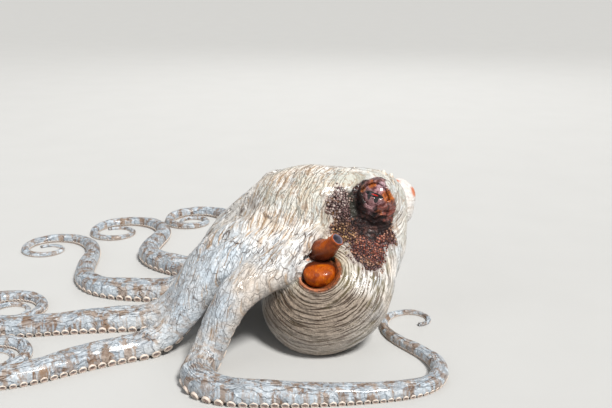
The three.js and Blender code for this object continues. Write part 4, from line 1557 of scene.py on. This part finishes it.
def floor_finish():
    f = Finish("floor")
    return f.done(Base_Color=f.mix((0.53, 0.53, 0.52), (0.50, 0.50, 0.49), f.noise(60.0)), Roughness=0.85)


# ---------------------------------------------------------------- the pieces


def wear(thing, finish):
    thing.data.materials.clear()
    thing.data.materials.append(finish)


FLESH_NODES = [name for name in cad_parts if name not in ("eye_left", "eye_right", "funnel", "collar")]

skin = make_skin()
wear(skin, skin_finish())
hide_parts(*FLESH_NODES)
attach(skin, "root")

eye_coat = eye_finish()
for side in EYES:
    ball = make_eye(side)
    wear(ball, eye_coat)
    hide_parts("eye_" + side)
    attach(ball, "root")

funnel_coat = funnel_finish()
for piece, node in ((make_funnel(), "funnel"), (make_collar(), "collar")):
    wear(piece, funnel_coat)
    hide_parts(node)
    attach(piece, "root")

cup = planted_tree("sucker_cup", *SUCKER)
sucker_coat = sucker_finish()
for label, names in (("left", ARM_NAMES[4:]), ("right", ARM_NAMES[:4])):
    base = planted_points("sucker_points", *sucker_places(names))
    suckers = grown("suckers_" + label, base, cup, sucker_coat)
    above_floor(suckers)
    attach(suckers, "root")


def beaded_skin(name):
    """A copy of the part of the skin that lies in the dark patch, with the share of beads it carries."""
    marks = read(skin.data.attributes["marks"].data, "vector")
    share = marks[:, 0] * (1 - step(marks[:, 1], 0.6, 1.0))
    thing = placed(name, skin.data.copy())
    store(thing, "bead", share)
    with edited(thing.data) as mesh:
        away = [v for v in mesh.verts if share[v.index] < LEAST_BEAD]
        bmesh.ops.delete(mesh, geom=away, context="VERTS")
    return thing


beads = grown("beads", beaded_skin("bead_base"), beads_tree("beads", *BEAD), bead_finish(),
              Least_Gap=0.0011, Density=2500000.0, Seed=BEAD_SEED, Small=0.00035, Large=0.00095)
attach(beads, "root")

# Papillae on the head: where they are, seen from above, and their sizes.
PAPILLAE = (
    (48, 17, 2.7), (53, 20, 2.4), (46, 25, 1.3), (57, 25, 1.4), (60, 30, 1.1),
    (38, 12, 1.0), (30, 20, 1.1), (22, 12, 0.9), (55, 32, 1.2), (34, 30, 1.2),
)
ABOVE_HEAD = 130.0


def papilla_places():
    """Where the papillae meet the skin, their directions and their sizes."""
    for x, y, size in PAPILLAE:
        above = Vector(to_metres(np.array((x, y, ABOVE_HEAD))))
        hit, where, normal, _ = skin.ray_cast(above, Vector((0, 0, -1)))
        if hit:
            yield np.array(where) / MM - SHIFT, unit(np.array(normal) + (0, 0, 0.8)), size


base = planted_points("papilla_points", *zip(*papilla_places()))
papillae = grown("papillae", base, planted_tree("papilla", *PAPILLA), papilla_finish())
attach(papillae, "root")

# ---------------------------------------------------------------- camera, floor and light

FLOOR_HALF = 40.0        # metres

CAMERA_PLACE = (0, -495, 224.6)
CAMERA_PITCH = math.radians(74)

scene = bpy.context.scene
camera_data = bpy.data.cameras.new("camera")
camera_data.lens = 50
camera_data.sensor_width = 36
camera = placed("camera", camera_data)
camera.location = to_metres(np.array(CAMERA_PLACE))
camera.rotation_euler = (CAMERA_PITCH, 0, 0)
scene.camera = camera
scene.view_settings.view_transform = "Standard"

floor_mesh = bpy.data.meshes.new("floor")
corners = [(x * FLOOR_HALF, y * FLOOR_HALF, 0) for x, y in ((-1, -1), (1, -1), (1, 1), (-1, 1))]
floor_mesh.from_pydata(corners, [], [(0, 1, 2, 3)])
floor = placed("floor", floor_mesh)
wear(floor, floor_finish())

# Lights: name, kind, place, size (in degrees for the sun, in metres otherwise), power and colour.
LIGHTS = (
    ("key", "SUN", (0.42, -0.62, 0.95), 14, 4.3, (1.0, 0.98, 0.95)),
    ("fill", "AREA", (-0.9, -0.7, 0.6), 0.9, 3.0, (0.92, 0.96, 1.0)),
    ("back", "AREA", (0.2, 1.0, 0.9), 1.0, 4.0, WHITE),
)
for name, kind, place, size, power, colour in LIGHTS:
    lamp = bpy.data.lights.new(name, kind)
    if kind == "SUN":
        lamp.angle = math.radians(size)
    else:
        lamp.size = size
    lamp.energy = power
    lamp.color = colour
    light = placed(name, lamp)
    light.location = place
    light.rotation_euler = (-Vector(place)).to_track_quat("-Z", "Y").to_euler()

world = bpy.data.worlds.new("studio")
world.use_nodes = True
world.node_tree.nodes["Background"].inputs["Color"].default_value = (0.86, 0.88, 0.9, 1)
world.node_tree.nodes["Background"].inputs["Strength"].default_value = 0.3
scene.world = world
